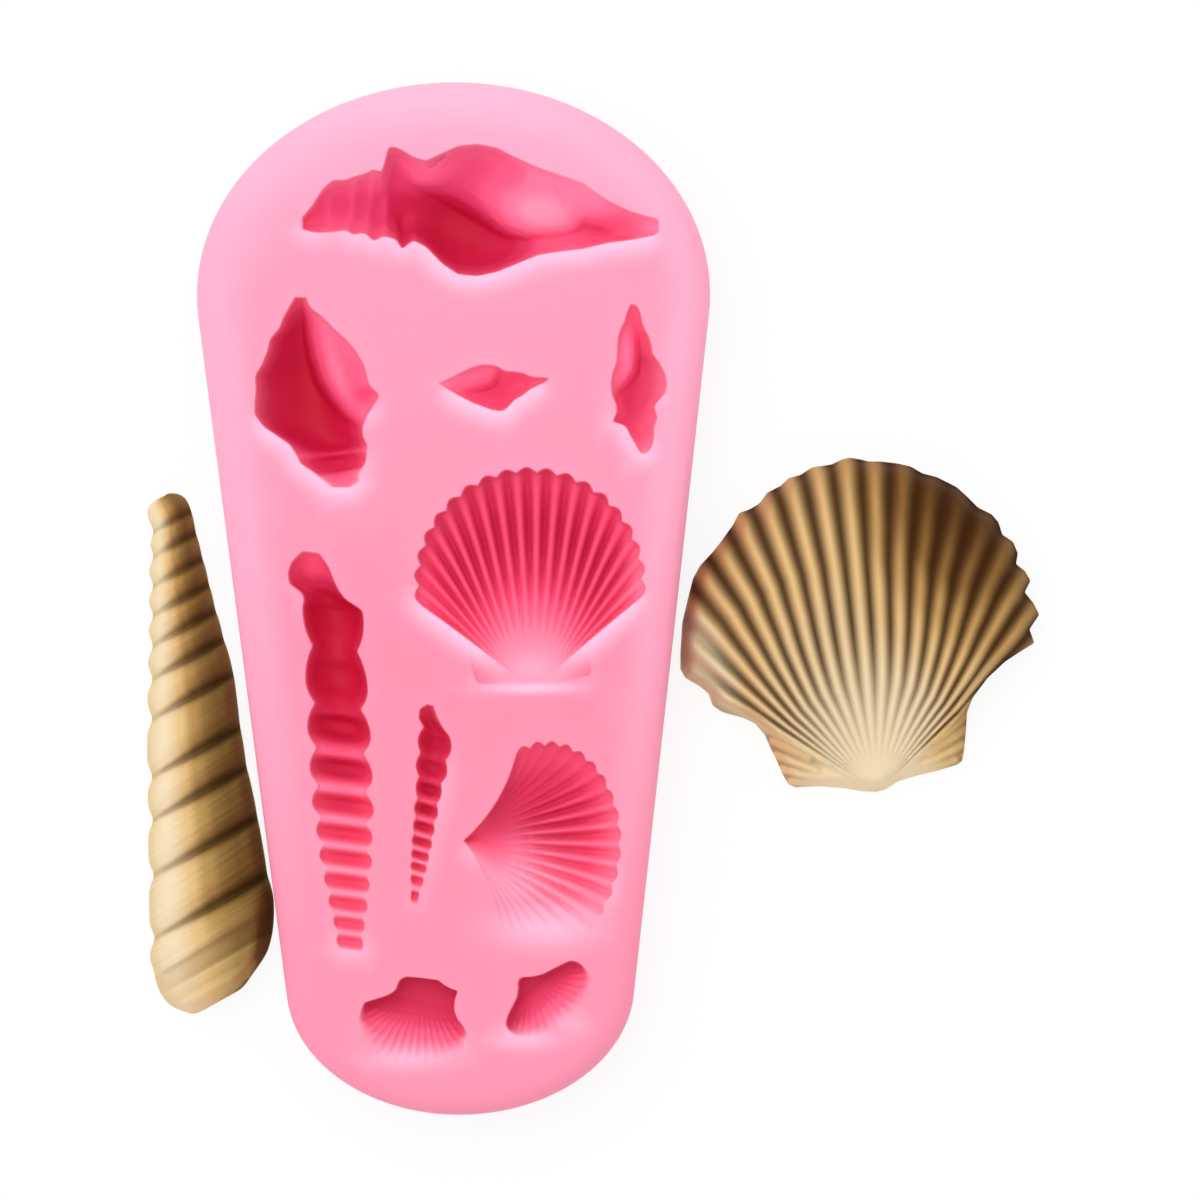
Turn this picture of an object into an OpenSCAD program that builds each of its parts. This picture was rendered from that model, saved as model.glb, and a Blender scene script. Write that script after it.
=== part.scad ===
// Sand mould: a tapered slab of soft silicone with ten sea-shell cavities in its top face,
// lying beside two loose shells cast in sand-coloured clay.
// The slab lies on its flat back, +Z up. The origin is the middle of the back.
// +Y runs along the slab to its wide end, and +X to the right of it.

/* [Mould slab] */
// Length of the slab, end to end
mould_length = 140; // [126:1:160]
// Width across the wide end
wide_end_width = 69.6; // [64:0.2:80]
// Width across the narrow end
narrow_end_width = 47.2; // [45:0.2:54]
// How far the round of the wide end reaches
wide_end_reach = 28.8; // [24:0.2:34]
// How far the round of the narrow end reaches
narrow_end_reach = 17.6; // [16:0.2:24]
// Thickness of the silicone
mould_thickness = 14; // [12.5:0.5:20]
// Radius of the soft edge round the top face
top_round = 3.4; // [1.5:0.1:4]
// Radius of the edge round the back
back_round = 0.8; // [0.4:0.1:1.5]

/* [Conch cavity] */
// Length of the conch
conch_length = 47.8; // [42:0.2:50]
// Width of the conch
conch_width = 18; // [14:0.2:20]
// Depth of the conch
conch_depth = 9.5; // [7:0.1:10]

/* [Whelk cavity] */
// Length of the whelk
whelk_length = 25.9; // [22:0.1:28]
// Width of the whelk
whelk_width = 17.2; // [14:0.1:18]
// Depth of the whelk
whelk_depth = 8.6; // [7:0.1:9.4]

/* [Cone cavity] */
// Length of the cone shell
cone_length = 15; // [12:0.1:17]
// Width of the cone shell
cone_width = 6.6; // [5:0.1:8]
// Depth of the cone shell
cone_depth = 3.8; // [2.5:0.1:5]

/* [Spindle cavity] */
// Length of the spindle shell
spindle_length = 20.3; // [17:0.1:22]
// Width of the spindle shell
spindle_width = 7.6; // [6:0.1:8.5]
// Depth of the spindle shell
spindle_depth = 4.4; // [3:0.1:5.5]

/* [Long auger cavity] */
// Length of the long auger, with its rungs
long_auger_length = 55.1; // [50:0.1:58]
// Width of the long auger over its whorls
long_auger_width = 8.65; // [7:0.05:9.5]
// Depth of the long auger
long_auger_depth = 6.9; // [5.5:0.1:7.5]

/* [Short auger cavity] */
// Length of the short auger, with its rungs
short_auger_length = 27; // [24:0.1:29]
// Width of the short auger over its whorls
short_auger_width = 5; // [4:0.05:6]
// Depth of the short auger
short_auger_depth = 3.4; // [2.5:0.1:4.5]

/* [Large scallop cavity] */
// Radius of the large scallop's rim
scallop_radius = 15.4; // [13:0.1:16.5]
// From the large scallop's hinge to the middle of its rim's circle
scallop_offset = 14.6; // [12:0.1:16]
// Depth of the large scallop
scallop_depth = 5.8; // [4.8:0.1:7]
// Height of the large scallop's ribs
scallop_rib = 1; // [0.6:0.05:1.3]

/* [Side scallop cavity] */
// Radius across the side scallop
side_scallop_radius = 14.2; // [12:0.1:14.6]
// Radius of the side scallop along its axis
side_scallop_reach = 10.4; // [9:0.1:11.5]
// From the side scallop's hinge to the middle of its rim
side_scallop_offset = 10.9; // [9:0.1:12]
// Depth of the side scallop
side_scallop_depth = 5.3; // [4:0.1:7]
// Height of the side scallop's ribs
side_scallop_rib = 0.7; // [0.4:0.05:0.9]

/* [Left fan cavity] */
// Radius across the left fan
left_fan_radius = 7.5; // [6.5:0.1:8.5]
// Radius of the left fan along its axis
left_fan_reach = 6.2; // [5:0.1:7]
// From the left fan's hinge to the middle of its rim
left_fan_offset = 5.3; // [4:0.1:6]
// Depth of the left fan
left_fan_depth = 4.6; // [3:0.1:6]
// Height of the left fan's ribs
left_fan_rib = 0.35; // [0.2:0.05:0.5]

/* [Right fan cavity] */
// Radius across the right fan
right_fan_radius = 7; // [6:0.1:7.6]
// Radius of the right fan along its axis
right_fan_reach = 4.8; // [4:0.1:6]
// From the right fan's hinge to the middle of its rim
right_fan_offset = 4.6; // [3.5:0.1:5.5]
// Depth of the right fan
right_fan_depth = 4.2; // [3:0.1:5.5]
// Height of the right fan's ribs
right_fan_rib = 0.35; // [0.2:0.05:0.5]

/* [Scallop casting] */
// Radius of the casting's rim
scallop_cast_radius = 24.9; // [20:0.1:28]
// From the casting's hinge to the middle of its rim's circle
scallop_cast_offset = 21; // [17:0.1:24]
// Height of the casting's dome over its edge
scallop_cast_dome = 8.4; // [6:0.1:11]
// Height of the casting's ribs
scallop_cast_rib = 1.3; // [0.8:0.05:1.6]
// Height of the casting's edge over its flat back
scallop_cast_edge = 1.6; // [1:0.1:3]
// Height of the ears beside the hinge
ear_height = 4.2; // [3:0.1:6]
// Radius of a growth ridge on an ear
ear_ridge_radius = 0.6; // [0.4:0.05:0.9]

/* [Auger casting] */
// Length of the casting
auger_cast_length = 71; // [62:0.5:80]
// Width of the casting
auger_cast_width = 17.3; // [14:0.1:20]
// Height of the casting's dome over its edge
auger_cast_dome = 8.6; // [6:0.1:11]
// Height of the casting's edge over its flat back
auger_cast_edge = 1.2; // [0.8:0.1:2.5]

/* [Layout] */
// Gap between the mould's side and a casting that lies beside it
cast_gap = 0.6; // [0.4:0.1:10]

/* [Hidden] */

silicone_pink = [1.00, 0.60, 0.73];
clay_tan = [0.78, 0.65, 0.46];

// How far a cavity's cutter stands over the top face
overrun = 1;
// Facets of the slab's outline and of small round pieces
outline_facets = 80;
small_facets = 12;
// Steps round the slab's top edge and back edge
top_edge_steps = 4;
back_edge_steps = 2;
// Steps across a cavity's long shell, and across the two widest ones
cross_steps = 10;
wide_cross_steps = 14;
// Steps along a fan from hinge to rim: small ones, large ones and the casting
small_fan_steps = 5;
fan_steps = 8;
cast_fan_steps = 12;
// Steps across one rib of a fan, along one whorl of a cavity, and along the auger casting
rib_steps = 4;
whorl_steps = 6;
auger_cast_steps = 90;
// How many lines of sight a cutter's walls can cross, for the preview
preview_layers = 12;

// How steeply a long shell's walls leave its edges: lower is steeper
arch_power = 0.62;
// How round a whorl is, in a cavity and on the casting: lower is rounder
whorl_power = 0.8;
cast_whorl_power = 0.6;
// How steep the sides of a mouth's lump are: lower is steeper
mouth_power = 0.85;
// How far a fan's rings crowd towards its rim, and how soon its ribs reach their full height
ring_power = 0.85;
rib_growth = 1.5;

// The mould's cavities: place on the top face as shares of its width and length, and the turn in degrees
conch_place_shares = [-0.282, 0.362];
whelk_place_shares = [-0.271, 0.293];
cone_place_shares = [-0.030, 0.208];
spindle_place_shares = [0.359, 0.283];
scallop_place_shares = [0.148, -0.090];
long_auger_place_shares = [-0.245, 0.049];
short_auger_place_shares = [-0.034, -0.103];
side_scallop_place_shares = [0.008, -0.234];
left_fan_place_shares = [-0.074, -0.373];
right_fan_place_shares = [0.127, -0.363];
conch_turn = -0.6;
whelk_turn = -90.6;
cone_turn = -0.6;
spindle_turn = -90.6;
long_auger_turn = -87.6;
short_auger_turn = -98;
scallop_turn = 1.2;
side_scallop_turn = -95.6;
left_fan_turn = 169;
right_fan_turn = -140.1;

// Long shells: each row is a station along the shell, its two edges as shares of the width,
// and its depth as a share of the full depth
conch_edge_shares = [
    [-0.016, -0.030, 0.060, 0.20], [0.012, -0.055, 0.150, 0.36], [0.040, -0.060, 0.270, 0.46],
    [0.070, -0.055, 0.345, 0.50], [0.110, -0.040, 0.345, 0.54], [0.128, -0.075, 0.370, 0.56],
    [0.160, -0.060, 0.390, 0.58], [0.188, -0.125, 0.430, 0.64], [0.212, -0.090, 0.400, 0.62],
    [0.226, -0.090, 0.600, 0.72], [0.252, -0.110, 0.590, 0.80], [0.266, -0.190, 0.575, 0.84],
    [0.300, -0.115, 0.520, 0.86], [0.335, -0.165, 0.490, 0.94], [0.380, -0.290, 0.545, 1.00],
    [0.425, -0.370, 0.600, 1.00], [0.480, -0.385, 0.617, 1.00], [0.535, -0.355, 0.590, 1.00],
    [0.595, -0.290, 0.510, 0.96], [0.655, -0.225, 0.440, 0.88], [0.715, -0.200, 0.385, 0.78],
    [0.780, -0.180, 0.325, 0.68], [0.850, -0.135, 0.195, 0.54], [0.910, -0.115, 0.115, 0.42],
    [0.960, -0.090, 0.070, 0.30], [0.990, -0.040, 0.050, 0.20]
];
whelk_edge_shares = [
    [0.000, -0.150, -0.055, 0.20], [0.052, -0.197, -0.028, 0.42], [0.110, -0.244, 0.087, 0.62],
    [0.167, -0.276, 0.165, 0.74], [0.217, -0.346, 0.252, 0.82], [0.277, -0.366, 0.331, 0.90],
    [0.352, -0.409, 0.400, 0.96], [0.413, -0.465, 0.425, 1.00], [0.460, -0.459, 0.440, 1.00],
    [0.512, -0.461, 0.524, 1.00], [0.538, -0.465, 0.508, 1.00], [0.616, -0.469, 0.430, 1.00],
    [0.684, -0.394, 0.386, 0.96], [0.736, -0.276, 0.394, 0.90], [0.778, -0.185, 0.433, 0.84],
    [0.810, -0.157, 0.425, 0.74], [0.872, -0.110, 0.410, 0.66], [0.925, 0.008, 0.360, 0.50],
    [0.967, 0.080, 0.375, 0.34], [1.000, 0.140, 0.280, 0.20]
];
cone_edge_shares = [
    [0.000, -0.010, 0.010, 0.10], [0.090, -0.139, 0.110, 0.40], [0.185, -0.265, 0.224, 0.66],
    [0.310, -0.412, 0.355, 0.90], [0.405, -0.490, 0.400, 1.00], [0.477, -0.550, 0.394, 1.00],
    [0.546, -0.577, 0.351, 1.00], [0.590, -0.567, 0.277, 0.98], [0.630, -0.490, 0.262, 0.94],
    [0.690, -0.343, 0.257, 0.86], [0.760, -0.255, 0.230, 0.74], [0.830, -0.129, 0.155, 0.60],
    [0.890, -0.060, 0.137, 0.48], [0.964, 0.018, 0.135, 0.30], [1.000, 0.085, 0.115, 0.15]
];
spindle_edge_shares = [
    [0.000, -0.140, -0.050, 0.20], [0.024, -0.170, 0.018, 0.36], [0.060, -0.210, 0.055, 0.50],
    [0.113, -0.245, 0.080, 0.62], [0.160, -0.310, 0.120, 0.70], [0.213, -0.360, 0.200, 0.80],
    [0.273, -0.375, 0.250, 0.88], [0.333, -0.380, 0.270, 0.94], [0.387, -0.390, 0.385, 1.00],
    [0.465, -0.465, 0.490, 1.00], [0.527, -0.490, 0.530, 1.00], [0.600, -0.475, 0.490, 1.00],
    [0.660, -0.410, 0.345, 0.96], [0.687, -0.385, 0.300, 0.92], [0.727, -0.390, 0.335, 0.90],
    [0.763, -0.440, 0.360, 0.86], [0.793, -0.460, 0.325, 0.80], [0.802, -0.290, 0.320, 0.78],
    [0.827, -0.210, 0.290, 0.74], [0.877, -0.150, 0.300, 0.64], [0.940, -0.045, 0.270, 0.40],
    [0.980, 0.005, 0.220, 0.20], [1.000, 0.055, 0.140, 0.10]
];
long_auger_head_shares = [
    [0.000, -0.410, -0.170, 0.30], [0.014, -0.540, -0.080, 0.50], [0.030, -0.625, -0.010, 0.66],
    [0.054, -0.680, 0.040, 0.78], [0.081, -0.665, 0.120, 0.86], [0.105, -0.475, 0.210, 0.96],
    [0.118, -0.450, 0.360, 1.00], [0.128, -0.450, 0.480, 1.00]
];
short_auger_head_shares = [
    [0.000, -0.335, -0.170, 0.40], [0.030, -0.535, -0.050, 0.66], [0.075, -0.540, 0.115, 0.86],
    [0.115, -0.400, 0.300, 1.00]
];

// Whorls of the two augers: each one's middle along the shell and half its width
long_auger_whorl_shares = [
    [0.152, 0.480], [0.317, 0.490], [0.435, 0.500], [0.535, 0.495], [0.621, 0.490], [0.692, 0.445],
    [0.752, 0.420], [0.812, 0.360], [0.867, 0.310], [0.918, 0.250], [0.962, 0.215]
];
short_auger_whorl_shares = [
    [0.185, 0.480], [0.313, 0.445], [0.426, 0.365], [0.526, 0.345], [0.614, 0.310], [0.689, 0.295],
    [0.757, 0.260], [0.814, 0.240], [0.882, 0.190], [0.965, 0.120]
];
// Depth along an auger: the station, and the depth as a share of the full depth
long_auger_depth_shares = [[0.12, 1.00], [0.43, 0.88], [0.62, 0.56], [0.80, 0.34], [1.00, 0.18]];
short_auger_depth_shares = [[0.12, 1.00], [0.55, 0.80], [0.80, 0.48], [1.00, 0.25]];
// How far the edges draw in between two whorls, and the slope of the whorls across the shell
long_auger_neck_share = 0.70;
short_auger_neck_share = 0.74;
auger_slope_share = 0.14;
// How high the first ridge between two whorls is, and the last one before the whorls turn into rungs
first_ridge_share = 0.20;
last_ridge_share = 0.75;
// The whorls that are joined: those after them are separate rungs
long_auger_open_whorls = 5;
short_auger_open_whorls = 5;
// A rung's half thickness as a share of its pitch
rung_thickness_share = 0.34;

// The lump that the shell's mouth leaves in a cavity: middle along and across, half length and half width,
// turn in degrees and height, all but the turn as shares of the shell's length, width and depth
conch_mouth_shares = [0.575, 0.200, 0.225, 0.265, -17, 0.62];
whelk_mouth_shares = [0.370, 0.215, 0.330, 0.170, 17, 0.60];
cone_mouth_shares = [0.360, 0.060, 0.200, 0.300, -4, 0.45];
spindle_mouth_shares = [0.370, -0.130, 0.250, 0.270, 2, 0.48];
long_auger_mouth_shares = [0.048, -0.300, 0.045, 0.290, 0, 0.30];
short_auger_mouth_shares = [0.075, 0.080, 0.060, 0.180, 30, 0.30];

// Fans: depth from hinge to rim, as shares of the full depth
scallop_profile_shares = [
    [0, 0.10], [0.15, 0.18], [0.35, 0.48], [0.6, 0.92], [0.8, 1.00], [0.93, 0.92], [1, 0.70]
];
side_profile_shares = [
    [0, 0.50], [0.15, 0.72], [0.35, 0.95], [0.55, 1.00], [0.8, 0.86], [0.93, 0.60], [1, 0.34]
];
small_profile_shares = [
    [0, 0.40], [0.2, 0.60], [0.4, 0.86], [0.6, 0.66], [0.8, 0.36], [0.93, 0.18], [1, 0.08]
];
cast_profile_shares = [
    [0, 0.30], [0.15, 0.48], [0.35, 0.80], [0.6, 1.00], [0.8, 0.92], [0.93, 0.62], [1, 0.20]
];
scallop_span = 100;
side_scallop_span = 118;
left_fan_span = 97;
right_fan_span = 102;
scallop_cast_span = 95;
// How much a fan's sides bend outward from hinge to rim, as a share of their turn
scallop_bend_share = 0.03;
side_scallop_bend_share = 0.28;
left_fan_bend_share = 0.06;
right_fan_bend_share = 0.16;
scallop_cast_bend_share = 0;
// How far the ribs between the middle and the sides spread at the hinge, in degrees
scallop_spread = 12;
side_scallop_spread = 12;
small_fan_spread = 6;
scallop_cast_spread = 14;
// Ribs, an odd number so that one lies in the middle
scallop_ribs = 19;
side_scallop_ribs = 21;
left_fan_ribs = 17;
right_fan_ribs = 15;
scallop_cast_ribs = 19;
// How far a rib pushes the rim out, in a cavity and on the casting
lobe_share = 0.022;
cast_lobe_share = 0.012;
// How much shallower a fan is at its sides
side_fall_share = 0.28;

// The ears beside a hinge: their outline as shares of the fan's radius,
// and their depth as a share of the fan's
scallop_ear_shares = [
    [-0.57, 0.36], [-0.50, 0.08], [-0.19, 0.04], [0.01, 0.03], [0.24, 0.06], [0.52, 0.12], [0.52, 0.35]
];
scallop_ear_depth_share = 0.14;
left_fan_ear_shares = [
    [0.43, -0.01], [0.33, -0.10], [0.06, -0.13], [-0.27, -0.15], [-0.41, -0.07], [-0.67, -0.02],
    [-0.64, 0.16], [-0.66, 0.34], [-0.60, 0.50], [-0.30, 0.66], [0.30, 0.66], [0.55, 0.45], [0.58, 0.30],
    [0.46, 0.18], [0.44, 0.06]
];
left_fan_ear_depth_share = 0.84;
right_fan_ear_shares = [
    [0.16, -0.01], [0.08, 0.01], [-0.07, 0.13], [-0.25, 0.22], [-0.30, 0.44], [0.00, 0.56], [0.36, 0.44],
    [0.43, 0.25],
    [0.28, 0.11], [0.23, 0.03]
];
right_fan_ear_depth_share = 0.84;

// Ears of the casting: their one outline round the hinge, and the two ends of each growth ridge
// on them, as shares of the rim's radius
cast_ear_shares = [
    [0.02, -0.025], [0.23, 0.03], [0.46, 0.09], [0.49, 0.12], [0.53, 0.30], [0.57, 0.44], [0.40, 0.55],
    [0.00, 0.45], [-0.50, 0.62], [-0.84, 0.66], [-0.88, 0.60], [-0.84, 0.54], [-0.68, 0.46], [-0.58, 0.36],
    [-0.54, 0.23], [-0.51, 0.11], [-0.48, 0.07], [-0.31, 0.02], [-0.06, -0.02]
];
cast_ear_ridge_shares = [
    [0.53, 0.37, 0.34, 0.25], [0.51, 0.29, 0.30, 0.18], [0.49, 0.21, 0.27, 0.12], [0.44, 0.13, 0.25, 0.07],
    [-0.54, 0.33, -0.36, 0.22], [-0.53, 0.25, -0.32, 0.15], [-0.50, 0.17, -0.29, 0.09],
    [-0.46, 0.10, -0.27, 0.05], [-0.80, 0.57, -0.60, 0.47], [-0.66, 0.50, -0.50, 0.38]
];

// How far a growth ridge sinks into its ear, as a share of its radius
ear_ridge_sink_share = 0.15;

// The auger casting: the lean of its whorls, the rows of its round end as for a long shell,
// and its edges and height by station
auger_cast_slope_share = -0.577;
auger_cast_end_shares = [
    [0.906, 0.085, 1.030, 0.96], [0.935, 0.105, 1.040, 0.90], [0.962, 0.150, 1.030, 0.80],
    [0.985, 0.235, 0.990, 0.62], [1.000, 0.430, 0.780, 0.26]
];
auger_cast_right_shares = [
    [0.000, 0.160], [0.012, 0.200], [0.051, 0.250], [0.127, 0.375], [0.203, 0.460], [0.279, 0.530],
    [0.356, 0.610], [0.432, 0.690], [0.529, 0.740], [0.622, 0.800], [0.724, 0.887], [0.856, 0.980],
    [0.906, 1.030]
];
auger_cast_left_shares = [
    [0.000, 0.130], [0.012, 0.080], [0.030, 0.040], [0.070, 0.030], [0.500, 0.040], [0.906, 0.085]
];
auger_cast_height_shares = [
    [0.000, 0.06], [0.012, 0.20], [0.051, 0.36], [0.203, 0.52], [0.500, 0.78], [0.800, 1.00], [0.906, 0.96]
];
// The sutures between whorls along the casting, how far the whorls swell, and how deep the sutures are
auger_cast_suture_shares = [
    0.000, 0.070, 0.118, 0.175, 0.232, 0.290, 0.354, 0.431, 0.542, 0.625, 0.732, 0.852, 0.930
];
auger_cast_swell_share = 0.050;
auger_cast_groove_share = 0.15;

// The turn of each casting, and where it lies along the mould as a share of its length
scallop_cast_turn = 4.9;
scallop_cast_along_share = -0.192;
auger_cast_turn = -91.3;
auger_cast_along_share = 0.104;

wide_end_y = mould_length / 2 - wide_end_reach;
narrow_end_y = narrow_end_reach - mould_length / 2;

// The lean of the slab's straight sides, in degrees
side_lean = atan2((wide_end_width - narrow_end_width) / 2, wide_end_y - narrow_end_y);

function mix(a, b, t) = a + (b - a) * t;
function arch(v) = pow(max(0, sin(180 * v)), arch_power);

// Half the slab's width where it runs straight between its two ends
function side_x(y) =
    mix(narrow_end_width, wide_end_width, (y - narrow_end_y) / (wide_end_y - narrow_end_y)) / 2;

// The same rows with one more station between each two
function halved(rows) = [
    for (i = [0 : len(rows) - 2])
        each [rows[i], (rows[i] + rows[i + 1]) / 2],
    rows[len(rows) - 1]
];

// Height of a mouth's lump at a point of a long shell
function mouth_height(mouth, length, width, depth, x, y) =
    let (
        dx = x - mouth[0] * length,
        dy = y - mouth[1] * width,
        along = (dx * cos(mouth[4]) + dy * sin(mouth[4])) / (mouth[2] * length),
        across = (dy * cos(mouth[4]) - dx * sin(mouth[4])) / (mouth[3] * width)
    )
    mouth[5] * depth * pow(max(0, 1 - along * along - across * across), mouth_power);

// Where a whorl lies along an auger and half its width, both also between two whorls
function whorl_place(whorls, k) = lookup(k, [for (i = [0 : len(whorls) - 1]) [i, whorls[i][0]]]);
function whorl_half(whorls, k) = lookup(k, [for (i = [0 : len(whorls) - 1]) [i, whorls[i][1]]]);

// Rows of an auger from its head to the end of its last open whorl
function auger_rows(head, whorls, depths, neck, open_whorls) = concat(
    head,
    [
        for (i = [0 : (open_whorls + 1 / 2) * whorl_steps])
            let (
                k = i / whorl_steps,
                u = whorl_place(whorls, k),
                swell = pow(abs(cos(180 * k)), whorl_power),
                half = whorl_half(whorls, k) * mix(neck, 1, swell),
                ridge = mix(first_ridge_share, last_ridge_share, k / open_whorls)
            )
            [u, -half, half, lookup(u, depths) * (1 - ridge * (1 - swell))]
    ]
);

// Stations of the auger casting
function suture(u) =
    lookup(u, [for (i = [0 : len(auger_cast_suture_shares) - 1]) [auger_cast_suture_shares[i], i]]);
function auger_cast_rows() = concat(
    [
        for (i = [0 : auger_cast_steps - 1])
            let (
                u = auger_cast_end_shares[0][0] * i / auger_cast_steps,
                swell = pow(abs(sin(180 * suture(u))), cast_whorl_power),
                left = lookup(u, auger_cast_left_shares) - auger_cast_swell_share * (swell - 1 / 2),
                right = lookup(u, auger_cast_right_shares),
                height = lookup(u, auger_cast_height_shares)
            )
            [u, left, right, height * (1 - auger_cast_groove_share * (1 - swell))]
    ],
    auger_cast_end_shares
);

// Triangles of the grid between two runs of points
function grid_faces(rows, columns, first) = [
    for (i = [0 : rows - 2], j = [0 : columns - 2])
        let (a = first + i * columns + j, b = a + columns)
        each [[a, b + 1, a + 1], [a, b, b + 1]]
];

// A long shell from its outline at z = 0 down to -depth, with a straight wall up to z = rise
module long_shell(rows, length, width, depth, rise, steps, slope = 0, mouth = undef) {
    count = steps + 3;
    rings = [
        for (row = rows)
            let (low = row[1] * width, high = row[2] * width)
            concat(
                [[row[0] * length, low, rise]],
                [
                    for (j = [0 : steps])
                        let (
                            v = j / steps,
                            y = mix(low, high, (1 - cos(180 * v)) / 2),
                            x = row[0] * length + slope * (y - low),
                            lump = is_undef(mouth) ? 0 : mouth_height(mouth, length, width, depth, x, y)
                        )
                        [x, y, -max(0, depth * row[3] * arch((1 - cos(180 * v)) / 2) - lump)]
                ],
                [[row[0] * length + slope * (high - low), high, rise]]
            )
    ];
    last = (len(rows) - 1) * count;
    lids = [
        for (i = [0 : len(rows) - 2])
            let (a = i * count, b = a + count)
            each [[a, b + count - 1, b], [a, a + count - 1, b + count - 1]]
    ];
    caps = [for (j = [1 : count - 2]) each [[0, j, j + 1], [last, last + j + 1, last + j]]];
    polyhedron(
        [for (ring = rings) each ring],
        concat(grid_faces(len(rows), count, 0), lids, caps),
        preview_layers
    );
}

// A wave of round humps with sharp grooves, 1 on a rib and 0 in a groove
function rib_wave(ribs, angle, span) = abs(cos(90 * ribs * angle / span));

// A point of a fan at an angle round the middle of its rim, a share s of the way from the hinge to the rim.
// Its shape is the rim's two radii, the hinge's offset, span, ribs, bend, spread and lobe
function fan_point(shape, angle, s, z) =
    let (
        span = shape[3],
        lobe = 1 + shape[7] * (2 * rib_wave(shape[4], angle, span) - 1),
        x = shape[0] * lobe * sin(angle),
        y = shape[2] + shape[1] * lobe * cos(angle),
        spread = shape[6] * pow(1 - s, 2) * sin(180 * angle / span),
        turn = atan2(x, y) * (1 - shape[5] * (1 - s)) + spread,
        r = norm([x, y]) * s
    )
    [r * sin(turn), r * cos(turn), z];

// A fan-shaped shell with its hinge at the origin, from z = 0 down to -depth, and straight up to z = rise
module fan_shell(shape, depth, rib, profile, rise, steps) {
    span = shape[3];
    ribs = shape[4];
    turns = ribs * rib_steps;
    angles = [for (i = [0 : turns]) span * (2 * i / turns - 1)];
    shares = [for (j = [1 : steps]) pow(j / steps, ring_power)];
    floor_points = [
        for (angle = angles)
            let (side = 1 - side_fall_share * pow(angle / span, 2), wave = rib_wave(ribs, angle, span) - 1)
            for (s = shares)
                fan_point(shape, angle, s,
                    -max(0, side * (depth * lookup(s, profile) + rib * wave * min(1, s * rib_growth))))
    ];
    lid_points = [
        for (angle = angles)
            for (s = shares)
                fan_point(shape, angle, s, rise)
    ];
    lid = len(floor_points);
    hinge = lid + len(lid_points);
    function at(i, j) = i * steps + j - 1;
    fan = [for (i = [0 : turns - 1]) each [
        [hinge, at(i + 1, 1), at(i, 1)],
        [hinge + 1, lid + at(i, 1), lid + at(i + 1, 1)],
        [at(i, steps), at(i + 1, steps), lid + at(i, steps)],
        [lid + at(i, steps), at(i + 1, steps), lid + at(i + 1, steps)]
    ]];
    sides = [for (j = [1 : steps - 1]) each [
        [lid + at(0, j), at(0, j), at(0, j + 1)],
        [lid + at(0, j), at(0, j + 1), lid + at(0, j + 1)],
        [lid + at(turns, j), at(turns, j + 1), at(turns, j)],
        [lid + at(turns, j), lid + at(turns, j + 1), at(turns, j + 1)]
    ]];
    corners = [
        [lid, hinge, at(0, 1)], [lid, hinge + 1, hinge],
        [lid + at(turns, 1), at(turns, 1), hinge], [lid + at(turns, 1), hinge, hinge + 1]
    ];
    over = [for (face = grid_faces(turns + 1, steps, lid)) [face[0], face[2], face[1]]];
    polyhedron(
        concat(floor_points, lid_points, [[0, 0, -depth * lookup(0, profile)], [0, 0, rise]]),
        concat(grid_faces(turns + 1, steps, 0), over, fan, sides, corners),
        preview_layers
    );
}

// A flat-bottomed cut round a fan's hinge, with an outline of shares of the fan's radius
module ear_cut(shares, radius, depth) {
    translate([0, 0, -depth])
        linear_extrude(depth + overrun)
            polygon([for (p = shares) p * radius]);
}

// One end of the slab: a disc with a soft edge, drawn in along Y
module slab_end(width, reach) {
    radius = width / 2;
    profile = concat(
        [[0, 0]],
        [for (i = [0 : back_edge_steps]) let (a = 90 * i / back_edge_steps)
            [radius - back_round + back_round * sin(a), back_round - back_round * cos(a)]],
        [for (i = [0 : top_edge_steps]) let (a = 90 * i / top_edge_steps)
            [radius - top_round + top_round * cos(a), mould_thickness - top_round + top_round * sin(a)]],
        [[0, mould_thickness]]
    );
    scale([1, reach / radius, 1])
        rotate_extrude($fn = outline_facets)
            polygon(profile);
}

module slab() {
    hull() {
        translate([0, wide_end_y, 0]) slab_end(wide_end_width, wide_end_reach);
        translate([0, narrow_end_y, 0]) slab_end(narrow_end_width, narrow_end_reach);
    }
}

// Puts a cavity on the top face
module on_face(shares, turn) {
    translate([shares[0] * wide_end_width, shares[1] * mould_length, mould_thickness])
        rotate([0, 0, turn])
            children();
}

// The separate rungs that an auger's last whorls leave
module rungs(whorls, depths, length, width, depth, first) {
    last = len(whorls) - 1;
    for (k = [first : last]) {
        u = whorls[k][0];
        pitch = (u - whorls[k - 1][0]) * length;
        thick = pitch * rung_thickness_share;
        half = max(thick / 2, whorls[k][1] * width - thick);
        hull()
            for (side = [-1, 1])
                translate([u * length + side * half * auger_slope_share, side * half, 0])
                    scale([thick, thick, lookup(u, depths) * depth])
                        sphere(r = 1, $fn = small_facets);
    }
}

// An auger: its head and open whorls, and then its rungs
module auger(head, whorls, depths, neck, open_whorls, length, width, depth, mouth) {
    rows = auger_rows(head, whorls, depths, neck, open_whorls);
    long_shell(rows, length, width, depth, overrun, cross_steps, auger_slope_share, mouth);
    rungs(whorls, depths, length, width, depth, open_whorls + 1);
}

module conch_cavity() {
    long_shell(halved(conch_edge_shares), conch_length, conch_width, conch_depth, overrun, wide_cross_steps,
        mouth = conch_mouth_shares);
}

module whelk_cavity() {
    long_shell(whelk_edge_shares, whelk_length, whelk_width, whelk_depth, overrun, cross_steps,
        mouth = whelk_mouth_shares);
}

module cone_cavity() {
    long_shell(cone_edge_shares, cone_length, cone_width, cone_depth, overrun, cross_steps,
        mouth = cone_mouth_shares);
}

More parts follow.
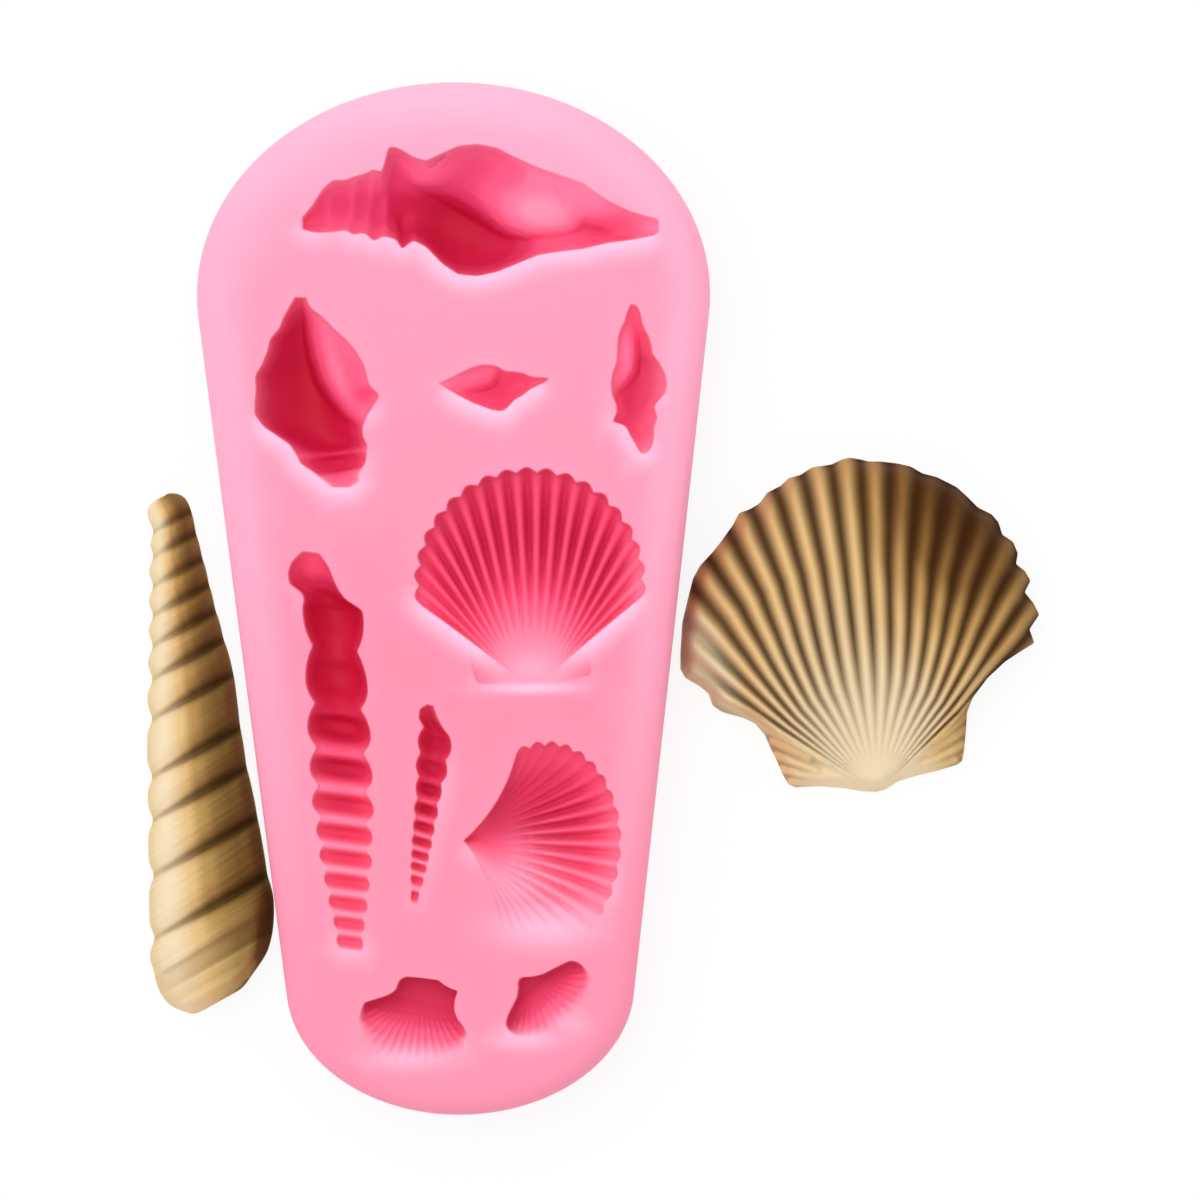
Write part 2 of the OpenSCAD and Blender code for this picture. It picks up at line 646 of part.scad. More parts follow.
module spindle_cavity() {
    long_shell(spindle_edge_shares, spindle_length, spindle_width, spindle_depth, overrun, cross_steps,
        mouth = spindle_mouth_shares);
}

module long_auger_cavity() {
    auger(long_auger_head_shares, long_auger_whorl_shares, long_auger_depth_shares, long_auger_neck_share,
        long_auger_open_whorls, long_auger_length, long_auger_width, long_auger_depth,
        long_auger_mouth_shares);
}

module short_auger_cavity() {
    auger(short_auger_head_shares, short_auger_whorl_shares, short_auger_depth_shares,
        short_auger_neck_share, short_auger_open_whorls, short_auger_length, short_auger_width,
        short_auger_depth, short_auger_mouth_shares);
}

module scallop_cavity() {
    shape = [scallop_radius, scallop_radius, scallop_offset, scallop_span, scallop_ribs, scallop_bend_share,
        scallop_spread, lobe_share];
    fan_shell(shape, scallop_depth, scallop_rib, scallop_profile_shares, overrun, fan_steps);
    ear_cut(scallop_ear_shares, scallop_radius, scallop_ear_depth_share * scallop_depth);
}

module side_scallop_cavity() {
    shape = [side_scallop_radius, side_scallop_reach, side_scallop_offset, side_scallop_span,
        side_scallop_ribs, side_scallop_bend_share, side_scallop_spread, lobe_share];
    fan_shell(shape, side_scallop_depth, side_scallop_rib, side_profile_shares, overrun, fan_steps);
}

module left_fan_cavity() {
    shape = [left_fan_radius, left_fan_reach, left_fan_offset, left_fan_span, left_fan_ribs,
        left_fan_bend_share, small_fan_spread, lobe_share];
    fan_shell(shape, left_fan_depth, left_fan_rib, small_profile_shares, overrun, small_fan_steps);
    ear_cut(left_fan_ear_shares, left_fan_radius, left_fan_ear_depth_share * left_fan_depth);
}

module right_fan_cavity() {
    shape = [right_fan_radius, right_fan_reach, right_fan_offset, right_fan_span, right_fan_ribs,
        right_fan_bend_share, small_fan_spread, lobe_share];
    fan_shell(shape, right_fan_depth, right_fan_rib, small_profile_shares, overrun, small_fan_steps);
    ear_cut(right_fan_ear_shares, right_fan_radius, right_fan_ear_depth_share * right_fan_depth);
}

module mould() {
    color(silicone_pink)
        difference() {
            slab();
            on_face(conch_place_shares, conch_turn) conch_cavity();
            on_face(whelk_place_shares, whelk_turn) whelk_cavity();
            on_face(cone_place_shares, cone_turn) cone_cavity();
            on_face(spindle_place_shares, spindle_turn) spindle_cavity();
            on_face(long_auger_place_shares, long_auger_turn) long_auger_cavity();
            on_face(short_auger_place_shares, short_auger_turn) short_auger_cavity();
            on_face(scallop_place_shares, scallop_turn) scallop_cavity();
            on_face(side_scallop_place_shares, side_scallop_turn) side_scallop_cavity();
            on_face(left_fan_place_shares, left_fan_turn) left_fan_cavity();
            on_face(right_fan_place_shares, right_fan_turn) right_fan_cavity();
        }
}

// The growth ridges on the casting's ears
module ear_ridges() {
    for (ridge = cast_ear_ridge_shares)
        hull()
            for (k = [0, 2])
                translate([
                    ridge[k] * scallop_cast_radius,
                    ridge[k + 1] * scallop_cast_radius,
                    ear_height - ear_ridge_sink_share * ear_ridge_radius
                ])
                    sphere(r = ear_ridge_radius, $fn = small_facets);
}

module scallop_casting() {
    shape = [scallop_cast_radius, scallop_cast_radius, scallop_cast_offset, scallop_cast_span,
        scallop_cast_ribs, scallop_cast_bend_share, scallop_cast_spread, cast_lobe_share];
    tilt = scallop_cast_turn;
    y = scallop_cast_along_share * mould_length;
    middle_y = y + scallop_cast_offset * cos(tilt);
    clear = (scallop_cast_radius * (1 + cast_lobe_share) + cast_gap) / cos(side_lean);
    x = side_x(middle_y) + clear + scallop_cast_offset * sin(tilt);
    color(clay_tan)
        translate([x, y, 0])
            rotate([0, 0, tilt])
                union() {
                    translate([0, 0, scallop_cast_edge])
                        mirror([0, 0, 1])
                            fan_shell(shape, scallop_cast_dome, scallop_cast_rib, cast_profile_shares,
                                scallop_cast_edge, cast_fan_steps);
                    linear_extrude(ear_height)
                        polygon([for (p = cast_ear_shares) p * scallop_cast_radius]);
                    ear_ridges();
                }
}

module auger_casting() {
    y = auger_cast_along_share * mould_length;
    lean = auger_cast_turn + 90;
    widest = auger_cast_end_shares[1];
    reach = widest[2] * auger_cast_width;
    along = widest[0] * auger_cast_length
        + auger_cast_slope_share * (widest[2] - widest[1]) * auger_cast_width;
    x = -side_x(y - along * cos(lean)) - cast_gap / cos(side_lean) - reach * cos(lean) - along * sin(lean);
    color(clay_tan)
        translate([x, y, auger_cast_edge])
            rotate([0, 0, auger_cast_turn])
                mirror([0, 0, 1])
                    long_shell(auger_cast_rows(), auger_cast_length, auger_cast_width, auger_cast_dome,
                        auger_cast_edge, wide_cross_steps, auger_cast_slope_share);
}

mould();
scallop_casting();
auger_casting();
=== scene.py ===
"""A soft pink mould with ten sea-shell cavities, and two shells cast in sand-coloured clay beside it.

Lengths are millimetres until a mesh is made. The slab lies on its back at z = 0, with +Y to its wide end.
"""

import math
from collections import namedtuple

import bpy
import numpy as np
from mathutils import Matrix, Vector
from mathutils.geometry import delaunay_2d_cdt
from mathutils.kdtree import KDTree


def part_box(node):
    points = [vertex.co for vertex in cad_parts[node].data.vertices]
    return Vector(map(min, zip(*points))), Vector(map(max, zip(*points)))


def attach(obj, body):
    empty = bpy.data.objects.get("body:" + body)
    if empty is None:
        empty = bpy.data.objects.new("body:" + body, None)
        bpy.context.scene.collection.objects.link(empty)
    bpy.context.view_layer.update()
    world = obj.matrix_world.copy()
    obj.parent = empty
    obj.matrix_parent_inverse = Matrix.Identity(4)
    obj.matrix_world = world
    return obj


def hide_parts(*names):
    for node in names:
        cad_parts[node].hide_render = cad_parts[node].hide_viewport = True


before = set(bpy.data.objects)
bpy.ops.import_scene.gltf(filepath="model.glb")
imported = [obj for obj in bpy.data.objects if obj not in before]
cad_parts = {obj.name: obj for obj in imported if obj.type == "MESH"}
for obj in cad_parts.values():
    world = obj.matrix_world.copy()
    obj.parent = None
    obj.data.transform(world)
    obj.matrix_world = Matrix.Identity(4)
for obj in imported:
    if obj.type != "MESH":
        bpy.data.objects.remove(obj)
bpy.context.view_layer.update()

MM = 0.001

# The slab, from the frame's box and the two ends' shapes
slab_low, slab_high = (np.array(corner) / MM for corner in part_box("mould"))
MOULD_LENGTH = slab_high[1] - slab_low[1]
MOULD_THICKNESS = slab_high[2]
WIDE_END_WIDTH = slab_high[0] - slab_low[0]
NARROW_END_WIDTH = 47.2
WIDE_END_REACH = 28.8
NARROW_END_REACH = 17.6
TOP_ROUND = 3.4
BACK_ROUND = 0.8
# Points round each end, points along each side, and steps of the two rounded edges
ARC_POINTS = 96
SIDE_POINTS = 60
TOP_ROUND_STEPS = 11
BACK_ROUND_STEPS = 5

# Spacing of a relief's points, their spacing in the smallest cavities, and an outline's share of either
GRAIN = 0.23
FINE_GRAIN = 0.15
OUTLINE_GRAIN = 1.3
# How far from an outline other points stay: in a long shell, in a fan and beside the slab's edge
LONG_CLEAR = 0.04
FAN_CLEAR = 0.05
RIM_CLEAR = 0.2
# Radius of the soft lip round a cavity
LIP = 0.16
# Distances from a cavity's edge at which points follow it, inside and outside, and the latter's spacing
WALL_STEPS = [0.06, 0.14, 0.26]
HALO_STEPS = [0.15, 0.4, 0.8, 1.3, 2.0, 3.0, 4.2]
HALO_GRAIN = 0.3
# Reach of the painted glow beside a cavity and down its wall, and how far its strength is evened out
HALO_REACH = 2.0
HALO_INSIDE = 0.1
HALO_EVEN = 1.6
# Strength of that painted glow on the side of a cavity that faces the slab's wide end, whose wall the lamp
# leaves in shade
HALO_TOP = 0.06
# Strength and reach of the painted highlight along the slab's rounded edge
RIM_PAINTED_HIGHLIGHT = 0.35
RIM_REACH = 3.0
# Painted glow in patches where two fans run out into the face: middle, reach to each side and strength
GLOWS = [
    [10.1, -12.2, 7.2, 0.8, 1.0], [10.2, -9.6, 5.5, 3.0, 0.4], [12.0, -44.6, 7.5, 3.0, 0.75],
    [8.6, -37.5, 4.5, 5.0, 0.35], [-6.9, -62.2, 6.5, 1.6, 0.6], [8.6, -59.8, 5.0, 1.4, 0.7],
    [15.0, -57.8, 3.0, 2.0, 0.4],
]

# How far the lobes of a fan's rim swell, and the power that rounds them and its ribs
FAN_LOBE = 0.022
LOBE_POWER = 0.45
RIB_POWER = 1.2
# Most points across one rib
RIB_POINTS = 14
# Rounding of the corners of a flat plate, a small fan and a long shell's edges
PLATE_ROUND = 0.45
SMALL_FAN_ROUND = 0.3
EDGE_ROUND = 1.0
# Spacing of an auger's rows, as a share of its length
AUGER_STEP = 0.002
# Rounds of working out a place in a long shell, a fan and the scallop casting, and the slab's corners
LONG_ROUNDS = 12
FAN_ROUNDS = 30
CAST_ROUNDS = 20
CORNER_ROUNDS = 60
# Angles at which a fan's rim is worked out, and stops along its profile
RIM_ANGLES = 1441
PROFILE_STOPS = 200
PROFILE_ROUND = 8
# Shortest length that is divided by, and its square
SHORTEST = 1e-9
SMALLEST = 1e-12


def thousandths(table):
    """Whole numbers as shares."""
    return np.array(table) / 1000


# Long cavities. Rows hold a station, two edges and a depth, in thousandths of the length, width and depth
CONCH_ROWS = thousandths([
    [-16, -30, 60, 240], [12, -55, 150, 340], [40, -60, 270, 380], [70, -55, 345, 400], [110, -40, 345, 420],
    [128, -75, 370, 430], [160, -60, 390, 460], [188, -125, 430, 490], [212, -90, 400, 500],
    [226, -90, 600, 640], [252, -110, 590, 800], [266, -190, 575, 840], [300, -115, 520, 860],
    [335, -165, 490, 940], [380, -290, 545, 1000], [425, -370, 600, 1000], [480, -385, 617, 1000],
    [535, -355, 590, 1000], [595, -290, 510, 960], [655, -225, 440, 880], [715, -200, 385, 780],
    [780, -180, 325, 680], [850, -135, 195, 540], [910, -115, 115, 420], [960, -90, 75, 300],
    [985, -75, 60, 240], [996, -50, 40, 200],
])
WHELK_ROWS = thousandths([
    [0, -150, -55, 200], [52, -197, -28, 420], [110, -244, 87, 620], [167, -276, 165, 740],
    [217, -346, 252, 820], [277, -366, 331, 900], [352, -409, 400, 960], [413, -465, 425, 1000],
    [460, -459, 440, 1000], [512, -461, 524, 1000], [538, -465, 508, 1000], [616, -469, 430, 1000],
    [684, -394, 386, 960], [736, -276, 394, 900], [778, -185, 433, 840], [810, -157, 425, 740],
    [872, -110, 410, 660], [925, 8, 360, 500], [967, 80, 375, 340], [1000, 140, 280, 200],
])
CONE_ROWS = thousandths([
    [0, -10, 10, 100], [90, -139, 110, 400], [185, -265, 224, 660], [310, -412, 355, 900],
    [405, -490, 400, 1000], [477, -550, 394, 1000], [546, -577, 351, 1000], [590, -567, 277, 980],
    [630, -490, 262, 940], [690, -343, 257, 860], [760, -255, 230, 740], [830, -129, 155, 600],
    [890, -60, 137, 480], [964, 18, 135, 300], [1000, 85, 115, 150],
])
SPINDLE_ROWS = thousandths([
    [0, -140, -50, 200], [24, -170, 18, 360], [60, -210, 55, 500], [113, -245, 80, 620],
    [160, -310, 120, 700], [213, -360, 200, 800], [273, -375, 250, 880], [333, -380, 270, 940],
    [387, -390, 385, 1000], [465, -465, 490, 1000], [527, -490, 530, 1000], [600, -475, 490, 1000],
    [660, -410, 345, 960], [687, -385, 300, 920], [727, -390, 335, 900], [763, -440, 360, 860],
    [793, -460, 325, 800], [802, -290, 320, 780], [827, -210, 290, 740], [877, -150, 300, 640],
    [940, -45, 270, 400], [980, 5, 220, 200], [1000, 55, 140, 100],
])
LONG_AUGER_HEAD = thousandths([
    [0, -410, -170, 300], [14, -540, -80, 500], [30, -625, -10, 660], [54, -680, 40, 780],
    [81, -665, 120, 860], [105, -475, 210, 960], [118, -450, 360, 1000], [128, -450, 480, 1000],
])
SHORT_AUGER_HEAD = thousandths([
    [0, -335, -170, 400], [30, -535, -50, 660], [75, -540, 115, 860], [115, -400, 300, 1000],
])
# Whorls: the middle of each along the shell and half its width
LONG_AUGER_WHORLS = thousandths([
    [152, 480], [317, 490], [435, 500], [535, 495], [621, 490], [692, 445], [752, 420], [812, 360],
    [867, 310], [918, 250], [962, 215],
])
SHORT_AUGER_WHORLS = thousandths([
    [185, 480], [313, 445], [426, 365], [526, 345], [614, 310], [689, 295], [757, 260], [814, 240],
    [882, 190], [965, 120],
])
# The smooth lump that a shell's mouth leaves: the line of its steep side
CONCH_MOUTH = thousandths([
    [270, 480], [290, 300], [347, 228], [404, 146], [474, 41], [531, -53], [566, -91], [616, -106],
    [715, -79], [757, -62], [786, -4], [828, -34], [941, -117], [1050, -160],
])
WHELK_MOUTH = thousandths([
    [-80, -140], [80, -100], [200, -100], [315, -76], [448, -10], [566, 109], [631, 207], [665, 286],
    [720, 520],
])
CONE_MOUTH = thousandths([
    [-100, -170], [170, -186], [306, -197], [418, -155], [508, -53], [544, 91], [553, 224], [590, 480],
])
SPINDLE_MOUTH = thousandths([
    [-80, 0], [108, 18], [225, 54], [341, 54], [458, 19], [541, -141], [641, -408], [700, -600],
])
# Ears beside the large scallop's hinge, and the small fans' outlines, in thousandths of the fan's radius
SCALLOP_EARS = thousandths([
    [-569, 356], [-503, 77], [-187, 45], [14, 30], [235, 57], [522, 116], [516, 353],
])
LEFT_FAN_OUTLINE = thousandths([
    [430, -10], [330, -100], [60, -130], [-170, -140], [-270, -150], [-410, -70], [-550, -30], [-670, -20],
    [-640, 160], [-660, 340], [-740, 480], [-900, 620], [-980, 720], [-950, 860], [-940, 1020], [-860, 1140],
    [-750, 1260], [-580, 1370], [-370, 1460], [-150, 1520], [70, 1550], [300, 1550], [540, 1500],
    [750, 1380], [890, 1220], [970, 1010], [1030, 790], [1000, 640], [980, 500], [790, 400], [580, 290],
    [460, 180], [440, 60],
])
RIGHT_FAN_OUTLINE = thousandths([
    [160, -10], [80, 10], [-70, 130], [-250, 220], [-510, 280], [-780, 350], [-860, 390], [-940, 530],
    [-960, 730], [-950, 880], [-890, 990], [-770, 1100], [-620, 1200], [-420, 1290], [-200, 1320],
    [60, 1320], [300, 1310], [500, 1250], [710, 1120], [840, 970], [940, 790], [970, 610], [940, 500],
    [830, 410], [630, 320], [430, 240], [280, 110], [230, 30],
])
# Depth of the small fans by distance from the hinge towards the rim
SMALL_FAN_LEVEL = thousandths([
    [-200, 900], [300, 950], [550, 800], [800, 480], [1050, 240], [1300, 110], [1550, 40],
])
# The scallop casting: its outline from the hinge up its left side, over the rim and back, by its radius
CAST_SCALLOP_OUTLINE = thousandths([
    [-1, -5], [-87, 8], [-171, 33], [-311, 57], [-447, 65], [-483, 85], [-510, 142], [-531, 209],
    [-557, 277], [-587, 368], [-635, 438], [-696, 476], [-812, 520], [-863, 563], [-878, 630], [-928, 679],
    [-999, 729], [-1022, 781], [-1012, 878], [-986, 1039], [-941, 1171], [-903, 1277], [-858, 1343],
    [-781, 1412], [-732, 1462], [-653, 1553], [-614, 1615], [-552, 1630], [-495, 1658], [-446, 1713],
    [-367, 1744], [-320, 1783], [-253, 1793], [-184, 1830], [-74, 1835], [-18, 1857], [27, 1864], [91, 1847],
    [133, 1832], [198, 1826], [294, 1805], [363, 1782], [424, 1738], [503, 1709], [606, 1644], [655, 1591],
    [714, 1519], [786, 1474], [820, 1427], [835, 1355], [890, 1311], [911, 1244], [895, 1185], [940, 1143],
    [967, 1086], [928, 1024], [971, 960], [997, 892], [935, 816], [955, 738], [898, 710], [783, 650],
    [677, 568], [585, 468], [545, 390], [530, 293], [509, 186], [492, 122], [457, 103], [346, 81], [235, 65],
    [124, 43], [55, 6],
])
# The two ends of each growth ridge on the casting's ears
CAST_EAR_RIDGES = thousandths([
    [530, 370, 340, 250], [510, 290, 300, 180], [490, 210, 270, 120], [440, 130, 250, 70],
    [-540, 330, -360, 220], [-530, 250, -320, 150], [-500, 170, -290, 90], [-460, 100, -270, 50],
    [-800, 570, -600, 470], [-660, 500, -500, 380],
])
# The auger casting: sutures between its whorls, its edges and height by station, and its round end
CAST_SUTURES = thousandths([0, 70, 118, 175, 232, 290, 354, 431, 542, 625, 732, 852, 930])
CAST_AUGER_RIGHT = thousandths([
    [0, 145], [12, 145], [20, 180], [30, 235], [45, 295], [66, 335], [127, 385], [203, 460], [279, 530],
    [356, 610], [432, 690], [529, 740], [622, 800], [724, 887], [856, 980], [906, 1030],
])
CAST_AUGER_LEFT = thousandths([[0, 120], [6, 60], [14, 25], [30, 15], [70, 30], [500, 40], [906, 85]])
CAST_AUGER_HEIGHT = thousandths([
    [0, 120], [12, 260], [51, 380], [203, 520], [500, 780], [800, 1000], [906, 960],
])
CAST_AUGER_END = thousandths([
    [906, 85, 1030, 960], [935, 105, 1035, 900], [962, 150, 1025, 800], [985, 235, 985, 620],
    [1000, 430, 780, 260],
])
# How far the ribs between the middle and the sides swing outward, by distance from the hinge
CAST_RIB_SWING = [[0.6, 6.0], [0.815, 3.3], [1.03, 0.7], [1.25, -1.2], [1.63, -2.0]]
# The scallop casting's height and its painted light and shade from its hinge to its rim, and the auger
# casting's painted light and shade across it
CAST_SCALLOP_PROFILE = [[0, 0.3], [0.15, 0.46], [0.35, 0.76], [0.6, 1], [0.8, 0.92], [0.93, 0.72], [1, 0.5]]
CAST_SCALLOP_SHADING = [[0, 0.95], [0.25, 0.97], [0.45, 0.88], [0.65, 0.8], [0.85, 0.7], [1.0, 0.6]]
CAST_AUGER_SHADING = [
    [0, 0.84], [0.08, 0.94], [0.2, 1.00], [0.35, 0.84], [0.5, 0.56], [0.65, 0.38], [0.8, 0.34], [1.0, 0.42],
]
# Growth lines of the auger casting: how many to a whorl, their lean, their start and their strength
CAST_AUGER_LINES = [[6.3, 0.9, 0.3, 0.4], [9.1, -0.6, 1.7, 0.3], [14.3, 0.5, 4.1, 0.3]]
# The castings' places beside the slab, as the CAD puts them
CAST_GAP = 0.6
CAST_RADIUS = 24.9
CAST_OFFSET = 21.0
CAST_TILT = 4.9
CAST_SIDE_TURN = 52.5
CAST_HALF_RIBS = 9
CAST_SCALLOP_ALONG = -0.192
CAST_SCALLOP_DOME = 8.2
CAST_SCALLOP_EDGE = 1.5
CAST_AUGER_LENGTH = 71.0
CAST_AUGER_WIDTH = 17.3
CAST_AUGER_DOME = 8.5
CAST_AUGER_EDGE = 1.1
CAST_AUGER_SLOPE = -0.577
CAST_AUGER_TURN = -91.3
CAST_AUGER_ALONG = 0.104
# Widest place of the auger casting, as a share of its width
CAST_AUGER_WIDEST = 1.04
# Height of the straight wall at a casting's foot, and the lips of the two castings
CAST_WALL = 0.2
CAST_SCALLOP_LIP = 0.9
CAST_AUGER_LIP = 0.8
# Depth of the scallop casting's ribs, and the heights of its ears and of their ridges
CAST_RIB_DEPTH = 1.5
CAST_EAR_HEIGHT = 2.0
CAST_RIDGE_HEIGHT = 0.7
# Spacing of the scallop casting's points, that in its ears by its radius, and how far its rows reach aside
CAST_GRAIN = 0.27
CAST_EAR_GRAIN = 0.0105
CAST_ROW_REACH = 1.06
# Where the auger casting's sutures and the hollows beside them end, as shares of its length
CAST_SUTURES_END = 0.96
CAST_HOLLOWS_END = 0.89

# Colour of the silicone: its own pink on the face, deepened by painted shade down a cavity up to a full
# depth; painted shade along the slab; and the colour of its painted glow and highlight
SILICONE_FULL_DEPTH = 10.0
SILICONE_PINK_AND_DEPTH_SHADE = [
    (0.0, (252, 172, 198)), (0.05, (251, 154, 184)), (0.15, (248, 126, 164)), (0.28, (238, 94, 138)),
    (0.42, (216, 58, 108)), (0.56, (204, 28, 80)), (0.9, (192, 14, 60)),
]
# Painted shade: these multiply the silicone darker towards the narrow end, away from the lamp
SILICONE_FALLOFF_SHADE = [
    (0.0, (246, 212, 219)), (0.25, (252, 206, 213)), (0.45, (255, 204, 212)), (0.6, (255, 216, 223)),
    (0.82, (255, 222, 228)), (0.93, (255, 238, 242)), (1.0, (255, 255, 255)),
]
# Colour of the painted glow and highlight
SILICONE_PAINTED_LIGHT = (253, 188, 216)
# Colour of the clay by its painted light and shade, painted shade down in its grooves, and a painted cool
# tint that cancels the pink light the slab throws on it
CLAY_LIT_AND_SHADED = [
    (0.0, (86, 54, 24)), (0.25, (130, 92, 48)), (0.5, (182, 142, 86)), (0.75, (216, 180, 124)),
    (1.0, (230, 210, 174)),
]
CLAY_GROOVE_SHADE = (62, 32, 8)
CLAY_GROOVE_SHADE_STRENGTH = 0.95
CLAY_COOL_AGAINST_PINK_LIGHT = (206, 224, 202)
CLAY_GRAIN_SCALE = 1400.0
CLAY_GRAIN_HEIGHT = 0.00012

# The floor, in metres, and how much of its light is its own
FLOOR_COLOUR = (250, 250, 250)
FLOOR_HALF = 1.5
FLOOR_LEVEL = -0.0002
FLOOR_GLOW = 0.86
# The camera, in metres and degrees
VIEW_WIDTH = 0.16232
VIEW_DISTANCE = 1.4
VIEW_MIDDLE = (0.01945, -0.00039)
VIEW_TURN = -0.57
SENSOR_WIDTH = 36
VIEW_END = 20
# The even fill, and the lamp beyond the slab's wide end
FILL_STRENGTH = 0.86
KEY_SIZE = 0.5
KEY_ENERGY = 1.5
KEY_PLACE = (-0.15, 0.15, 0.55)

# Sockets of a colour mix node
MIX_A = 6
MIX_B = 7
MIX_RESULT = 2

Relief = namedtuple("Relief", "outline points height shares", defaults=[None])
Fan = namedtuple("Fan", "radius reach offset span ribs bend spread depth")


def rise(value, start=0, reach=1):
    """0 up to a start, 1 from a reach beyond it, and a soft step between."""
    t = np.clip((value - start) / reach, 0, 1)
    return t * t * (3 - 2 * t)


def bell(value, width):
    """1 at 0, falling off softly to both sides."""
    return np.exp(-(value / width) ** 2)


def read(table, places):
    """Values between the rows of a table of places and values."""
    return np.interp(places, *np.transpose(table))


def softened(values, steps):
    """The same run of values with its corners rounded off over a few steps."""
    reach = int(3 * steps) + 1
    offsets = np.arange(-reach, reach + 1)
    weights = np.exp(-0.5 * (offsets / steps) ** 2)
    padded = np.concatenate([np.full(reach, values[0]), values, np.full(reach, values[-1])])
    return np.convolve(padded, weights / weights.sum(), mode="valid")


def even_round(values, steps):
    """The same run of values round a closed outline, evened out over a few steps."""
    return softened(np.concatenate([values, values, values]), steps)[len(values):2 * len(values)]


def divided(line, step):
    """The same line with points added where two lie more than a step apart."""
    points = []
    for start, end in zip(line[:-1], line[1:]):
        count = max(1, int(math.ceil(np.linalg.norm(end - start) / step)))
        for i in range(count):
            points.append(start + (end - start) * i / count)
    points.append(line[-1])
    return np.array(points)


def closed(line):
    """The same outline with its first point again at its end."""
    return np.vstack([line, line[:1]])


def redrawn(outline, step):
    """The same closed outline with points added where two lie more than a step apart."""
    return divided(closed(outline), step)[:-1]


def polar(places):
    """Each place's distance from the origin, and its turn from +Y in degrees."""
    x, y = places.T
    return np.hypot(x, y), np.degrees(np.arctan2(x, y))


def spun(spokes, turns):
    """Points at some distances from the origin, turned from +Y by some radians."""
    return np.column_stack([spokes * np.sin(turns), spokes * np.cos(turns)])


def turned(points, turn):
    """Points turned about the origin by some degrees."""
    spin = math.radians(turn)
    return points @ np.array([[math.cos(spin), math.sin(spin)], [-math.sin(spin), math.cos(spin)]])


def grid(xs, ys):
    """The crossings of a grid of lines."""
    return np.column_stack([axis.ravel() for axis in np.meshgrid(xs, ys)])


def inward(outline):
    """The unit vector to the left of an outline's run at each point: inward on an anticlockwise one."""
    run = np.roll(outline, -1, 0) - np.roll(outline, 1, 0)
    lengths = np.maximum(np.linalg.norm(run, axis=1), SHORTEST)
    return np.column_stack([-run[:, 1], run[:, 0]]) / lengths[:, None]


def counterclockwise(outline):
    """The same closed outline, run anticlockwise."""
    x, y = outline.T
    area = (x * np.roll(y, -1) - y * np.roll(x, -1)).sum()
    return outline if area > 0 else outline[::-1]


def nearest(points, line, most=3000):
    """Distance to a line, the side (1 left of the line's run, -1 right) and the share along it."""
    start = line[:-1]
    run = line[1:] - start
    squares = np.maximum((run ** 2).sum(1), SMALLEST)
    lengths = np.sqrt(squares)
    passed = np.concatenate([[0], np.cumsum(lengths)])
    parts = []
    for chunk in np.array_split(points, max(1, len(points) // most)):
        gap = chunk[:, None, :] - start[None]
        along = np.clip((gap * run).sum(2) / squares, 0, 1)
        foot = start + along[..., None] * run
        distance = ((chunk[:, None, :] - foot) ** 2).sum(2)
        k = distance.argmin(1)
        rows = np.arange(len(chunk))
        offset = gap[rows, k]
        side = np.sign(run[k, 0] * offset[:, 1] - run[k, 1] * offset[:, 0])
        share = (passed[k] + along[rows, k] * lengths[k]) / passed[-1]
        parts.append(np.column_stack([np.sqrt(distance[rows, k]), side, share]))
    return np.vstack(parts).T


def beyond(points, outline):
    """Distance from each point to a finely drawn closed outline, and the index of its nearest point."""
    tree = KDTree(len(outline))
    for i, (x, y) in enumerate(outline):
        tree.insert((x, y, 0), i)
    tree.balance()
    index = np.array([tree.find((x, y, 0))[1] for x, y in points], int)
    best = np.full(len(points), np.inf)
    for step in (-1, 1):
        start = outline[index]
        run = outline[(index + step) % len(outline)] - start
        squares = np.maximum((run ** 2).sum(1), SMALLEST)
        along = np.clip(((points - start) * run).sum(1) / squares, 0, 1)
        foot = start + along[:, None] * run
        best = np.minimum(best, np.linalg.norm(points - foot, axis=1))
    return best, index


def boxed(points, outline, reach):
    """Whether each point is within some reach of an outline's box."""
    return np.all((points > outline.min(0) - reach) & (points < outline.max(0) + reach), axis=1)


def inside(points, outline):
    """Whether each point lies within a closed outline."""
    found = np.zeros(len(points), bool)
    near = boxed(points, outline, 0)
    x, y = points[near].T[..., None]
    x0, y0 = outline.T
    x1, y1 = np.roll(outline, -1, axis=0).T
    spans = (y0 > y) != (y1 > y)
    crossing = x0 + (y - y0) * (x1 - x0) / np.where(y1 == y0, 1, y1 - y0)
    found[near] = (spans & (x < crossing)).sum(1) % 2 == 1
    return found


def kept_within(points, outline, clear):
    """The points that lie within a closed outline and some way clear of it."""
    points = points[inside(points, outline)]
    return points[beyond(points, outline)[0] > clear]


def placed(relief, place, turn):
    """A relief turned by some degrees and moved to its place."""
    def height(points):
        return relief.height(turned(points - place, -turn))

    return Relief(turned(relief.outline, turn) + place, turned(relief.points, turn) + place, height)


def across(width, grain):
    """Places across a strip of some width, closer together beside its edges."""
    edge = [step for step in WALL_STEPS if step < width / 2 - grain / 2]
    first = edge[-1] if edge else 0
    count = max(2, int(round((width - 2 * first) / grain)))
    middle = np.linspace(first, width - first, count + 1)[1:-1]
    return np.concatenate([edge, middle, [width - step for step in reversed(edge)]])


def lip(points, outline, radius):
    """How much of its depth a cavity has near its edge."""
    return 1 - bell(beyond(points, outline)[0], radius)


def lump(size, line, side, profile, tapers):
    """A lump with one steep side: how much shallower it makes each point, by distance behind that side."""
    steep = divided(line * size[:2], 0.5)

    def share(points):
        distance, left, along = nearest(points, steep)
        return read(profile, distance * left * side) * read(tapers, along)

    return share


